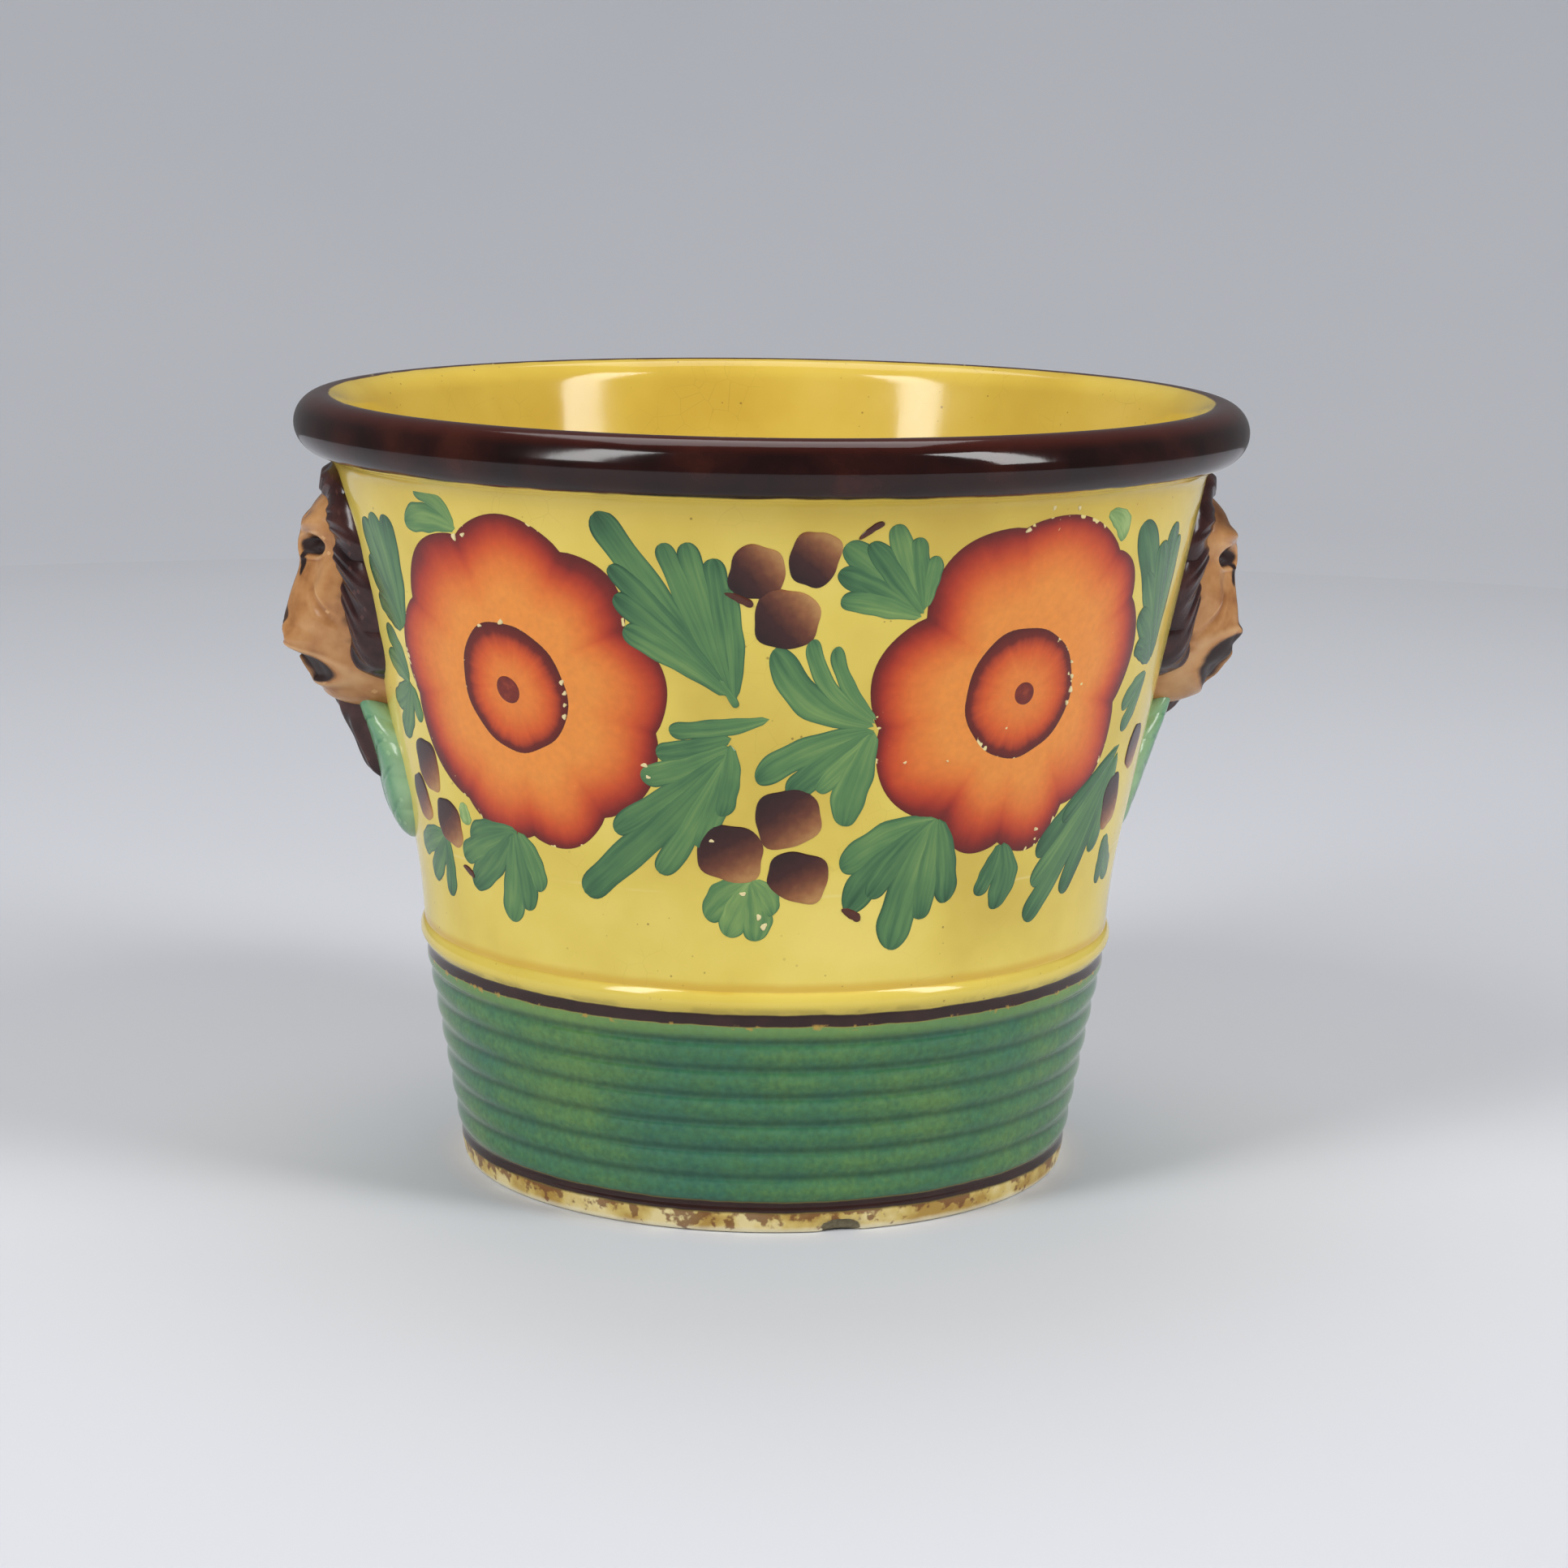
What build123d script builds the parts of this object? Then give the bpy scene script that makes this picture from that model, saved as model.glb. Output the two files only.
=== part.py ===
import os
from math import cos, radians, sin, sqrt, tan

from build123d import *

os.makedirs("parts", exist_ok=True)

# All sizes are in millimetres and degrees. The pot stands on z = 0, its axis is Z,
# the painted front faces -Y and the two lion masks sit on +X (right) and -X (left).

# The thrown pot
overall_height = 150.5
rim_diameter = 184.0
rim_roll = 11.0
rim_cove = 4.5
flare_angle = 11.6
wall_thickness = 4.8
floor_thickness = 6.5
floor_fillet = 12.0

# The turned foot, which widens a little up to its lip
foot_height = 4.2
foot_taper = 0.8
foot_lip_step = 0.4
foot_edge = 0.6
foot_ring_width = 7.0
foot_ring_taper = 1.0
foot_recess = 3.0

# The reeded band, from the foot up: a painted groove, six reeds, a half reed
groove_height = 1.6
reed_count = 6
reed_pitch = 5.43
reed_bulge = 0.75
reed_taper = 5.9
half_reed_height = 3.0
half_reed_step = 1.1
half_reed_bulge = 0.5

# The painted fillet and the bead above the reeds, and the sweep up to the straight wall. Tapers and
# steps are changes of radius, each taken from the form above it, so that the turning follows the wall.
line_height = 2.2
bead_height = 4.4
bead_bulge = 0.75
bead_step = 0.55
sweep_height = 20.0
sweep_draw = 2.63

# The lion masks. Falls are measured down from the top of the forehead, which lies mask_drop
# below the corner of wall and lip. Reliefs are measured out from the wall, square to the axis.
mask_drop = 6.8
face_length = 42.5
face_reach = 13.0
face_relief = 15.2
eye_fall = 12.4
eye_spread = 6.2
eye_relief = 8.6
eye_diameter = 4.8
socket_diameter = 8.0
brow_fall = 8.4
brow_spread = 6.0
brow_length = 13.0
brow_girth = 6.4
brow_slant = 70.0
brow_relief = 6.6
nose_fall = 8.0
nose_length = 24.5
nose_width = 10.4
nose_relief = 17.2
nose_slope = 6.4
nose_crown = 2.6
nose_tip_height = 5.0
pad_fall = 30.0
pad_spread = 4.6
pad_length = 14.0
pad_girth = 11.0
pad_slant = 52.0
pad_relief = 9.8
mouth_fall = 37.0
mouth_relief = 13.2
mouth_width = 14.0
mouth_gape = 8.0
tongue_fall = 31.0
tongue_length = 11.0
tongue_reach = 2.4
tongue_relief = 16.4
mane_rise = 4.6
mane_height = 43.0
mane_reach = 19.5
mane_relief = 4.6
lock_length = 17.0
lock_girth = 7.0
leaf_fall = 38.2
leaf_length = 31.0
leaf_reach = 14.0
left_leaf_relief = 4.2
right_leaf_relief = 5.2
beard_fall = 37.8
beard_reach = 4.4
beard_relief = 9.0
beard_length = 19.5
stump_length = 8.4

# Worked out from the sizes above
rim_radius = rim_diameter / 2
roll_radius = rim_roll / 2
roll_centre_r = rim_radius - roll_radius
roll_centre_z = overall_height - roll_radius
flare = radians(flare_angle)
lean = tan(flare)
floor_height = foot_recess + floor_thickness
reed_base = foot_height + groove_height
reed_top = reed_base + reed_count * reed_pitch
line_base = reed_top + half_reed_height
bead_base = line_base + line_height
bead_top = bead_base + bead_height
sweep_top = bead_top + sweep_height
seat_depth = 0.7 * wall_thickness


def inner_radius(height):
    return roll_centre_r - roll_radius / cos(flare) + (height - roll_centre_z) * lean


def wall_radius(height):
    return inner_radius(height) + wall_thickness / cos(flare)


bead_radius = wall_radius(sweep_top) - sweep_draw
line_radius = bead_radius - bead_step
reed_top_radius = line_radius - half_reed_step
foot_lip_radius = reed_top_radius - reed_taper + foot_lip_step
foot_radius = foot_lip_radius - foot_taper


def reed_radius(height):
    return reed_top_radius - reed_taper * (reed_top - height) / (reed_top - reed_base)


def bulged_arc(start, end, bulge):
    run_r = end[0] - start[0]
    run_z = end[1] - start[1]
    run = sqrt(run_r**2 + run_z**2)
    middle_r = (start[0] + end[0]) / 2 + bulge * run_z / run
    middle_z = (start[1] + end[1]) / 2 - bulge * run_r / run
    return ThreePointArc(start, (middle_r, middle_z), end)


# The straight wall meets the rolled lip's section at this corner, which the cove rounds
offset = wall_radius(roll_centre_z) - roll_centre_r
neck_fall = (offset * lean + sqrt((1 + lean**2) * roll_radius**2 - offset**2)) / (1 + lean**2)
neck_height = roll_centre_z - neck_fall
neck = (wall_radius(neck_height), neck_height)
lip_inside = (roll_centre_r - roll_radius * cos(flare), roll_centre_z + roll_radius * sin(flare))

with BuildPart() as pot_body:
    with BuildSketch(Plane.XZ) as section:
        with BuildLine():
            ring_inside = foot_radius - foot_ring_width
            Polyline(
                (0, foot_recess),
                (ring_inside - foot_ring_taper, foot_recess),
                (ring_inside, 0),
                (foot_radius, 0),
                (foot_lip_radius, foot_height),
                (reed_radius(reed_base), reed_base),
            )
            for reed in range(reed_count):
                low = reed_base + reed * reed_pitch
                high = low + reed_pitch
                bulged_arc((reed_radius(low), low), (reed_radius(high), high), reed_bulge)
            bulged_arc((reed_radius(reed_top), reed_top), (line_radius, line_base), half_reed_bulge)
            Line((line_radius, line_base), (line_radius, bead_base))
            bulged_arc((line_radius, bead_base), (bead_radius, bead_top), bead_bulge)
            sweep_end = (wall_radius(sweep_top), sweep_top)
            TangentArc(sweep_end, (bead_radius, bead_top), tangent=(-lean, -1))
            Line(sweep_end, neck)
            ThreePointArc(neck, (rim_radius, roll_centre_z), lip_inside)
            floor_corner = (inner_radius(floor_height), floor_height)
            Line(lip_inside, floor_corner)
            Polyline(floor_corner, (0, floor_height), (0, foot_recess))
        make_face()
        corners = section.vertices()
        fillet(corners.sort_by_distance((*neck, 0))[0], rim_cove)
        fillet(corners.sort_by_distance((*floor_corner, 0))[0], floor_fillet)
        fillet(corners.sort_by_distance((foot_radius, 0, 0))[0], foot_edge)
        fillet(corners.sort_by_distance((ring_inside, 0, 0))[0], foot_edge)
    revolve(axis=Axis.Z)
pot_body.part.label = "pot_body"
export_step(pot_body.part, "parts/pot_body.step")


# Height of a point of the mask, from its fall below the top of the forehead
def fall_height(fall):
    return neck_height - mask_drop - fall


half_turn = 180.0


# A rounded relief lofted down the wall of the +X side, through (fall, half width, relief)
def relief_loft(stations):
    with BuildPart() as form:
        for fall, half_width, relief in stations:
            height = fall_height(fall)
            seat = wall_radius(height) - seat_depth
            with BuildSketch(Plane.XY.offset(height)):
                with BuildLine():
                    EllipticalCenterArc(
                        (seat, 0), relief + seat_depth, half_width, start_angle=-90, arc_size=half_turn
                    )
                    Line((seat, half_width), (seat, -half_width))
                make_face()
        loft()
    return form.part


# The same with upright sides under a low crown
def crowned_loft(stations, crown):
    with BuildPart() as form:
        for fall, half_width, relief in stations:
            height = fall_height(fall)
            seat = wall_radius(height) - seat_depth
            edge = wall_radius(height) + relief - crown
            with BuildSketch(Plane.XY.offset(height)):
                with BuildLine():
                    Polyline((edge, half_width), (seat, half_width), (seat, -half_width), (edge, -half_width))
                    ThreePointArc((edge, -half_width), (edge + crown, 0), (edge, half_width))
                make_face()
        loft()
    return form.part


# A pointed egg, long along Z
def spindle(length, girth):
    with BuildPart() as form:
        with BuildSketch(Plane.XZ):
            with BuildLine():
                EllipticalCenterArc((0, 0), girth / 2, length / 2, start_angle=-90, arc_size=half_turn)
                Line((0, length / 2), (0, -length / 2))
            make_face()
        revolve(axis=Axis.Z)
    return form.part


# A place on the +X side, out from the wall, leaning with it and turned about the outward axis
def on_wall(across, fall, relief, turn=0.0):
    height = fall_height(fall)
    return Location((wall_radius(height) + relief, across, height), (turn, flare_angle, 0))


hands = (-1, 1)

# The forms of a relief, as (share of its length, share of its reach, share of its relief)
def stations(form, start, length, reach, relief):
    return [(start + down * length, out * reach, high * relief) for down, out, high in form]


# The lion's face: forehead, brows, sunk eyes, broad nose, whisker pads, open mouth, tongue and chin
face_form = ((0, 0.23, 0.13), (0.08, 0.68, 0.5), (0.19, 0.91, 0.66), (0.32, 0.97, 0.62), (0.49, 1, 0.76),
             (0.66, 0.95, 0.93), (0.78, 0.83, 1), (0.89, 0.63, 0.82), (0.965, 0.42, 0.59), (1, 0.23, 0.37))
nose_stations = (
    (nose_fall, 0.38 * nose_width, nose_relief - nose_slope),
    (nose_fall + 0.4 * nose_length, 0.36 * nose_width, nose_relief - 0.4 * nose_slope),
    (nose_fall + 0.8 * nose_length, 0.5 * nose_width, nose_relief),
    (nose_fall + nose_length, 0.36 * nose_width, nose_relief - 0.3 * nose_slope),
)
tongue_form = ((0, 0.7, 1), (0.3, 1, 0.97), (0.56, 1, 0.9), (0.8, 0.9, 0.78), (1, 0.6, 0.6))
with BuildPart() as right_face:
    add(relief_loft(stations(face_form, 0, face_length, face_reach, face_relief)))
    for hand in hands:
        with Locations(on_wall(hand * eye_spread, eye_fall, eye_relief + socket_diameter / 4)):
            Sphere(socket_diameter / 2, mode=Mode.SUBTRACT)
    for hand in hands:
        with Locations(on_wall(hand * eye_spread, eye_fall, eye_relief - eye_diameter / 4)):
            Sphere(eye_diameter / 2)
        with Locations(on_wall(hand * brow_spread, brow_fall, brow_relief, -hand * brow_slant)):
            add(spindle(brow_length, brow_girth))
        with Locations(on_wall(hand * pad_spread, pad_fall, pad_relief, hand * pad_slant)):
            add(spindle(pad_length, pad_girth))
    add(crowned_loft(nose_stations, nose_crown))
    with Locations(on_wall(0, nose_fall + 0.86 * nose_length, nose_relief - nose_tip_height / 2, 90)):
        add(spindle(nose_width, nose_tip_height))
    with Locations(on_wall(0, mouth_fall, mouth_relief, 90)):
        add(spindle(mouth_width, mouth_gape), mode=Mode.SUBTRACT)
    add(relief_loft(stations(tongue_form, tongue_fall, tongue_length, tongue_reach, tongue_relief)))
    add(pot_body.part, mode=Mode.SUBTRACT)
right_face.part.label = "right_face"
export_step(right_face.part, "parts/right_face.step")

# The mane: a collar round the face with heavy locks hanging down each side of it
mane_form = ((0, 0.36, 0.96), (0.11, 0.68, 1.17), (0.27, 0.92, 1.09), (0.53, 1, 1), (0.76, 0.97, 1),
             (0.88, 0.84, 0.87), (0.96, 0.56, 0.57))
# Where the locks lie, as (share of the reach, share of the height, turn)
lock_places = ((0.46, 0.25, 52.0), (0.68, 0.46, 28.0), (0.75, 0.67, 12.0), (0.63, 0.86, -6.0))
with BuildPart() as right_mane:
    add(relief_loft(stations(mane_form, -mane_rise, mane_height, mane_reach, mane_relief)))
    for out, down, turn in lock_places:
        fall = down * mane_height - mane_rise
        for hand in hands:
            with Locations(on_wall(hand * out * mane_reach, fall, mane_relief / 3, hand * turn)):
                add(spindle(lock_length, lock_girth))
    add(pot_body.part, mode=Mode.SUBTRACT)
    add(right_face.part, mode=Mode.SUBTRACT)
right_mane.part.label = "right_mane"
export_step(right_mane.part, "parts/right_mane.step")

# The leaf that hangs under each mask. The left one stands off the wall down to its tip and the
# right one lies flatter.
left_leaf_form = ((0, 0.26, 1.1), (0.18, 0.56, 1.05), (0.4, 0.92, 1), (0.58, 1, 1),
                  (0.78, 0.9, 1), (0.92, 0.64, 0.76), (1, 0.3, 0.38))
right_leaf_form = ((0, 0.26, 1), (0.18, 0.56, 0.92), (0.4, 0.88, 0.73), (0.58, 0.98, 0.54),
                   (0.78, 0.86, 0.37), (0.92, 0.64, 0.25), (1, 0.3, 0.15))
with BuildPart() as right_leaf:
    add(relief_loft(stations(right_leaf_form, leaf_fall, leaf_length, leaf_reach, right_leaf_relief)))
    add(pot_body.part, mode=Mode.SUBTRACT)
    add(right_face.part, mode=Mode.SUBTRACT)
    add(right_mane.part, mode=Mode.SUBTRACT)
right_leaf.part.label = "right_leaf"
export_step(right_leaf.part, "parts/right_leaf.step")

with BuildPart() as left_leaf_blank:
    add(relief_loft(stations(left_leaf_form, leaf_fall, leaf_length, leaf_reach, left_leaf_relief)))
    add(pot_body.part, mode=Mode.SUBTRACT)
    add(right_face.part, mode=Mode.SUBTRACT)
    add(right_mane.part, mode=Mode.SUBTRACT)

# The beard under each chin. The left one hangs down over its leaf and the right one is a stump.
left_beard_form = ((0, 1, 1), (0.2, 0.94, 0.9), (0.43, 0.78, 0.73), (0.64, 0.74, 0.75), (0.85, 0.58, 0.68),
                   (1, 0.32, 0.54))
right_beard_form = ((0, 1, 1), (0.55, 0.9, 0.9), (1, 0.62, 0.68))
with BuildPart() as right_beard:
    add(relief_loft(stations(right_beard_form, beard_fall, stump_length, beard_reach, beard_relief)))
    add(right_leaf.part, mode=Mode.SUBTRACT)
    add(right_face.part, mode=Mode.SUBTRACT)
    add(right_mane.part, mode=Mode.SUBTRACT)
    add(pot_body.part, mode=Mode.SUBTRACT)
right_beard.part.label = "right_beard"
export_step(right_beard.part, "parts/right_beard.step")

with BuildPart() as left_beard_blank:
    add(relief_loft(stations(left_beard_form, beard_fall, beard_length, beard_reach, beard_relief)))
    add(left_leaf_blank.part, mode=Mode.SUBTRACT)
    add(right_face.part, mode=Mode.SUBTRACT)
    add(right_mane.part, mode=Mode.SUBTRACT)
    add(pot_body.part, mode=Mode.SUBTRACT)

# The left-hand mask is the same one turned half round the pot
across_pot = Location((0, 0, 0), (0, 0, half_turn))
left_pieces = {"left_face": right_face, "left_mane": right_mane, "left_leaf": left_leaf_blank,
               "left_beard": left_beard_blank}
for name, blank in left_pieces.items():
    with BuildPart() as left_piece:
        with Locations(across_pot):
            add(blank.part)
    left_piece.part.label = name
    export_step(left_piece.part, f"parts/{name}.step")
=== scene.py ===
import math
import random
from functools import partial

import bmesh
import bpy
from mathutils import Matrix, Vector, noise


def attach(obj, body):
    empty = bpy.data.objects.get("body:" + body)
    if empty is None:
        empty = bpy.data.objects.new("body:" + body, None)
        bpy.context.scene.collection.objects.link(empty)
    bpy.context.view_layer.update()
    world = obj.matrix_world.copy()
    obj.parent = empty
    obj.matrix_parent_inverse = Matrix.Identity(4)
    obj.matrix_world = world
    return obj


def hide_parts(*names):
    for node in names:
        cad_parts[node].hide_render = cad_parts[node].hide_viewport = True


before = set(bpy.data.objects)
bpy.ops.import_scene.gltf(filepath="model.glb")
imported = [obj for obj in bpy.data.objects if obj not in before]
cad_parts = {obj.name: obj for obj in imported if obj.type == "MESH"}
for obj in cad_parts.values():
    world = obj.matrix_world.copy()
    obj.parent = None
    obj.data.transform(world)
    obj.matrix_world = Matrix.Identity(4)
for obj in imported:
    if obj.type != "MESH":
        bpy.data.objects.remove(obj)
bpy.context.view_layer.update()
mm = 0.001
print("frame loaded:", ", ".join(sorted(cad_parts)))


# sRGB hex to the linear colour that a socket takes
def linearColour(hexColour):
    parts = [int(hexColour[i:i + 2], 16) / 255 for i in (1, 3, 5)]
    return [p / 12.92 if p <= 0.04045 else ((p + 0.055) / 1.055) ** 2.4 for p in parts] + [1.0]


# adds a node: settings are its own values, an input that is a node or a socket gets linked, hex words
# become colours
def addNode(tree, kind, settings=None, inputs=None):
    made = tree.nodes.new(kind)
    for name, value in (settings or {}).items():
        if name == "stops":
            while len(made.color_ramp.elements) < len(value):
                made.color_ramp.elements.new(0.5)
            for element, (place, colour) in zip(made.color_ramp.elements, value):
                element.position = place
                element.color = linearColour(colour)
        else:
            setattr(made, name, value)
    for key, value in (inputs or {}).items():
        if isinstance(value, bpy.types.Node):
            value = next(socket for socket in value.outputs if socket.enabled)
        if isinstance(value, bpy.types.NodeSocket):
            tree.links.new(value, made.inputs[key])
        else:
            made.inputs[key].default_value = linearColour(value) if isinstance(value, str) else value
    return made


def startMaterial(name):
    material = bpy.data.materials.new(name)
    material.use_nodes = True
    tree = material.node_tree
    return material, partial(addNode, tree), tree.links, tree.nodes["Principled BSDF"]


def clearSelection():
    if bpy.context.mode != "OBJECT":
        bpy.ops.object.mode_set(mode="OBJECT")
    bpy.ops.object.select_all(action="DESELECT")


def pick(piece):
    clearSelection()
    piece.select_set(True)
    bpy.context.view_layer.objects.active = piece


def applyModifier(piece, name, kind, **values):
    pick(piece)
    modifier = piece.modifiers.new(name, kind)
    for key, value in values.items():
        setattr(modifier, key, value)
    bpy.ops.object.modifier_apply(modifier=name)


def mergePoints(piece, distance):
    pick(piece)
    bpy.ops.object.mode_set(mode="EDIT")
    bpy.ops.mesh.select_all(action="SELECT")
    bpy.ops.mesh.remove_doubles(threshold=distance)
    bpy.ops.object.mode_set(mode="OBJECT")


def joinPieces(pieces, name):
    clearSelection()
    for piece in pieces:
        piece.select_set(True)
    bpy.context.view_layer.objects.active = pieces[0]
    bpy.ops.object.join()
    pieces[0].name = name
    pieces[0].data.name = name
    return pieces[0]


# a copy with its own mesh, turned half round the pot
def turnedCopy(piece, name):
    copy = piece.copy()
    copy.data = piece.data.copy()
    copy.name = name
    copy.data.name = name
    copy.data.transform(Matrix.Rotation(math.pi, 4, "Z"))
    bpy.context.collection.objects.link(copy)
    return copy


def finishPiece(piece, material, slot, *nodes):
    piece.data.materials.clear()
    piece.data.materials.append(material)
    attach(piece, "root")
    if nodes:
        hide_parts(*nodes)


def easeStep(low, high, value):
    share = min(max((value - low) / (high - low), 0.0), 1.0)
    return share * share * (3 - 2 * share)


# a smooth line through given points
def softCurve(points, value):
    if value <= points[0][0]:
        return points[0][1]
    for i in range(len(points) - 1):
        (x0, y0), (x1, y1) = points[i], points[i + 1]
        if value <= x1:
            before = points[max(i - 1, 0)]
            after = points[min(i + 2, len(points) - 1)]
            span = x1 - x0
            m0 = (y1 - before[1]) / (x1 - before[0]) * span
            m1 = (after[1] - y0) / (after[0] - x0) * span
            t = (value - x0) / span
            return ((2 * t**3 - 3 * t**2 + 1) * y0 + (t**3 - 2 * t**2 + t) * m0
                    + (3 * t**2 - 2 * t**3) * y1 + (t**3 - t**2) * m1)
    return points[-1][1]


# The pot, thrown and turned: all sizes in millimetres, tapers and steps are changes of radius
potForm = {
    "height": 150.5, "rimRadius": 92.0, "rollRadius": 5.5, "cove": 4.5, "flare": math.radians(11.6),
    "wall": 4.8, "floorTop": 9.5, "floorFillet": 12.0,
    "recess": 3.0, "ringWidth": 7.0, "ringTaper": 1.0, "footHeight": 4.2, "footTaper": 0.8,
    "footLipStep": 0.4, "grooveHeight": 1.6, "reedCount": 6, "reedPitch": 5.43, "reedBulge": 0.75,
    "reedTaper": 5.9, "halfReedHeight": 3.0, "halfReedStep": 1.1, "halfReedBulge": 0.5,
    "lineHeight": 2.2, "beadHeight": 4.4, "beadBulge": 1.05, "beadStep": 0.55, "sweepHeight": 20.0,
    "sweepDraw": 2.63, "segments": 256,
}
rollR = potForm["rimRadius"] - potForm["rollRadius"]
rollZ = potForm["height"] - potForm["rollRadius"]
lean = math.tan(potForm["flare"])
reedBase = potForm["footHeight"] + potForm["grooveHeight"]
reedTop = reedBase + potForm["reedCount"] * potForm["reedPitch"]
lineBase = reedTop + potForm["halfReedHeight"]
beadBase = lineBase + potForm["lineHeight"]
beadTop = beadBase + potForm["beadHeight"]
sweepTop = beadTop + potForm["sweepHeight"]


def innerRadius(z):
    return rollR - potForm["rollRadius"] / math.cos(potForm["flare"]) + (z - rollZ) * lean


def coneRadius(z):
    return innerRadius(z) + potForm["wall"] / math.cos(potForm["flare"])


beadR = coneRadius(sweepTop) - potForm["sweepDraw"]
lineR = beadR - potForm["beadStep"]
reedTopR = lineR - potForm["halfReedStep"]
footLipR = reedTopR - potForm["reedTaper"] + potForm["footLipStep"]
footR = footLipR - potForm["footTaper"]

# the sweep is an arc that leaves the cone at its top and ends on the bead
outward = Vector((math.cos(potForm["flare"]), -math.sin(potForm["flare"])))
sweepRun = Vector((beadR - coneRadius(sweepTop), beadTop - sweepTop))
sweepRadius = sweepRun.length_squared / (2 * sweepRun.dot(outward))
sweepCentre = Vector((coneRadius(sweepTop), sweepTop)) + sweepRadius * outward


# radius of the painted outer wall
def wallRadius(z):
    if z >= sweepTop:
        return coneRadius(z)
    return sweepCentre.x - math.sqrt(sweepRadius**2 - (z - sweepCentre.y) ** 2)


def reedRadius(z):
    return reedTopR - potForm["reedTaper"] * (reedTop - z) / (reedTop - reedBase)


def linePoints(start, end, count):
    return [Vector(start).lerp(Vector(end), i / count) for i in range(count)]


def bulgePoints(start, end, bulge, count, full=1.0):
    run = Vector(end) - Vector(start)
    side = Vector((run.y, -run.x)).normalized()
    line = enumerate(linePoints(start, end, count))
    return [p + side * bulge * math.sin(math.pi * i / count) ** full for i, p in line]


def arcPoints(centre, radius, start, end, count):
    turns = [start + (end - start) * i / count for i in range(count)]
    return [Vector((centre[0] + radius * math.cos(a), centre[1] + radius * math.sin(a))) for a in turns]


# the turned section, from under the foot round over the lip to the middle of the floor
def potSection():
    ringInner = footR - potForm["ringWidth"]
    path = linePoints((0, potForm["recess"]), (ringInner - potForm["ringTaper"], potForm["recess"]), 10)
    path += linePoints((ringInner - potForm["ringTaper"], potForm["recess"]), (ringInner, 0), 5)
    path += linePoints((ringInner, 0), (footR, 0), 9)
    path += linePoints((footR, 0), (footLipR, potForm["footHeight"]), 8)
    path += linePoints((footLipR, potForm["footHeight"]), (reedRadius(reedBase), reedBase), 4)
    for reed in range(potForm["reedCount"]):
        low = reedBase + reed * potForm["reedPitch"]
        high = low + potForm["reedPitch"]
        path += bulgePoints((reedRadius(low), low), (reedRadius(high), high), potForm["reedBulge"], 14)
    path += bulgePoints((reedTopR, reedTop), (lineR, lineBase), potForm["halfReedBulge"], 8)
    path += linePoints((lineR, lineBase), (lineR, beadBase), 5)
    path += bulgePoints((lineR, beadBase), (beadR, beadTop), potForm["beadBulge"], 20, 0.75)
    softened = path[:]
    for passing in range(2):    # the glaze fills the grooves and rounds the edges
        between = range(1, len(path) - 1)
        path[1:-1] = [(path[i - 1] + 2 * path[i] + path[i + 1]) / 4 for i in between]
    path[:10] = softened[:10]
    heights = [beadTop + i * potForm["sweepHeight"] / 10 for i in range(10)]
    path += [Vector((wallRadius(z), z)) for z in heights]
    # the cove between wall and lip touches both
    coveStart = Vector((coneRadius(rollZ), rollZ)) + potForm["cove"] * outward
    down = Vector((-math.sin(potForm["flare"]), -math.cos(potForm["flare"])))
    gap = coveStart - Vector((rollR, rollZ))
    reach = potForm["rollRadius"] + potForm["cove"]
    slide = -gap.dot(down) + math.sqrt(gap.dot(down) ** 2 - gap.length_squared + reach**2)
    coveCentre = coveStart + slide * down
    coveLow = coveCentre - potForm["cove"] * outward
    towardsRoll = Vector((rollR, rollZ)) - coveCentre
    path += linePoints((coneRadius(sweepTop), sweepTop), coveLow, 22)
    coveFrom = math.atan2(-outward.y, -outward.x)
    path += arcPoints(coveCentre, potForm["cove"], coveFrom, math.atan2(towardsRoll.y, towardsRoll.x), 8)
    rollFrom = math.atan2(-towardsRoll.y, -towardsRoll.x)
    path += arcPoints((rollR, rollZ), potForm["rollRadius"], rollFrom, math.pi - potForm["flare"], 34)
    fillet = potForm["floorFillet"]
    filletZ = potForm["floorTop"] + fillet
    filletR = innerRadius(filletZ) - fillet / math.cos(potForm["flare"])
    lip = (rollR - potForm["rollRadius"] * math.cos(potForm["flare"]),
           rollZ + potForm["rollRadius"] * math.sin(potForm["flare"]))
    filletTop = Vector((filletR, filletZ)) + fillet * outward
    path += linePoints(lip, filletTop, 26)
    path += arcPoints((filletR, filletZ), fillet, -potForm["flare"], -math.pi / 2, 12)
    path += linePoints((filletR, potForm["floorTop"]), (0, potForm["floorTop"]), 10)
    return path + [Vector((0, potForm["floorTop"]))]


# a chip out of the foot ring, in front: its middle and half sizes
footChip = {"place": (8.6, -59.0, 0.9), "size": (3.8, 4.0, 1.7), "deep": 0.9}


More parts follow.
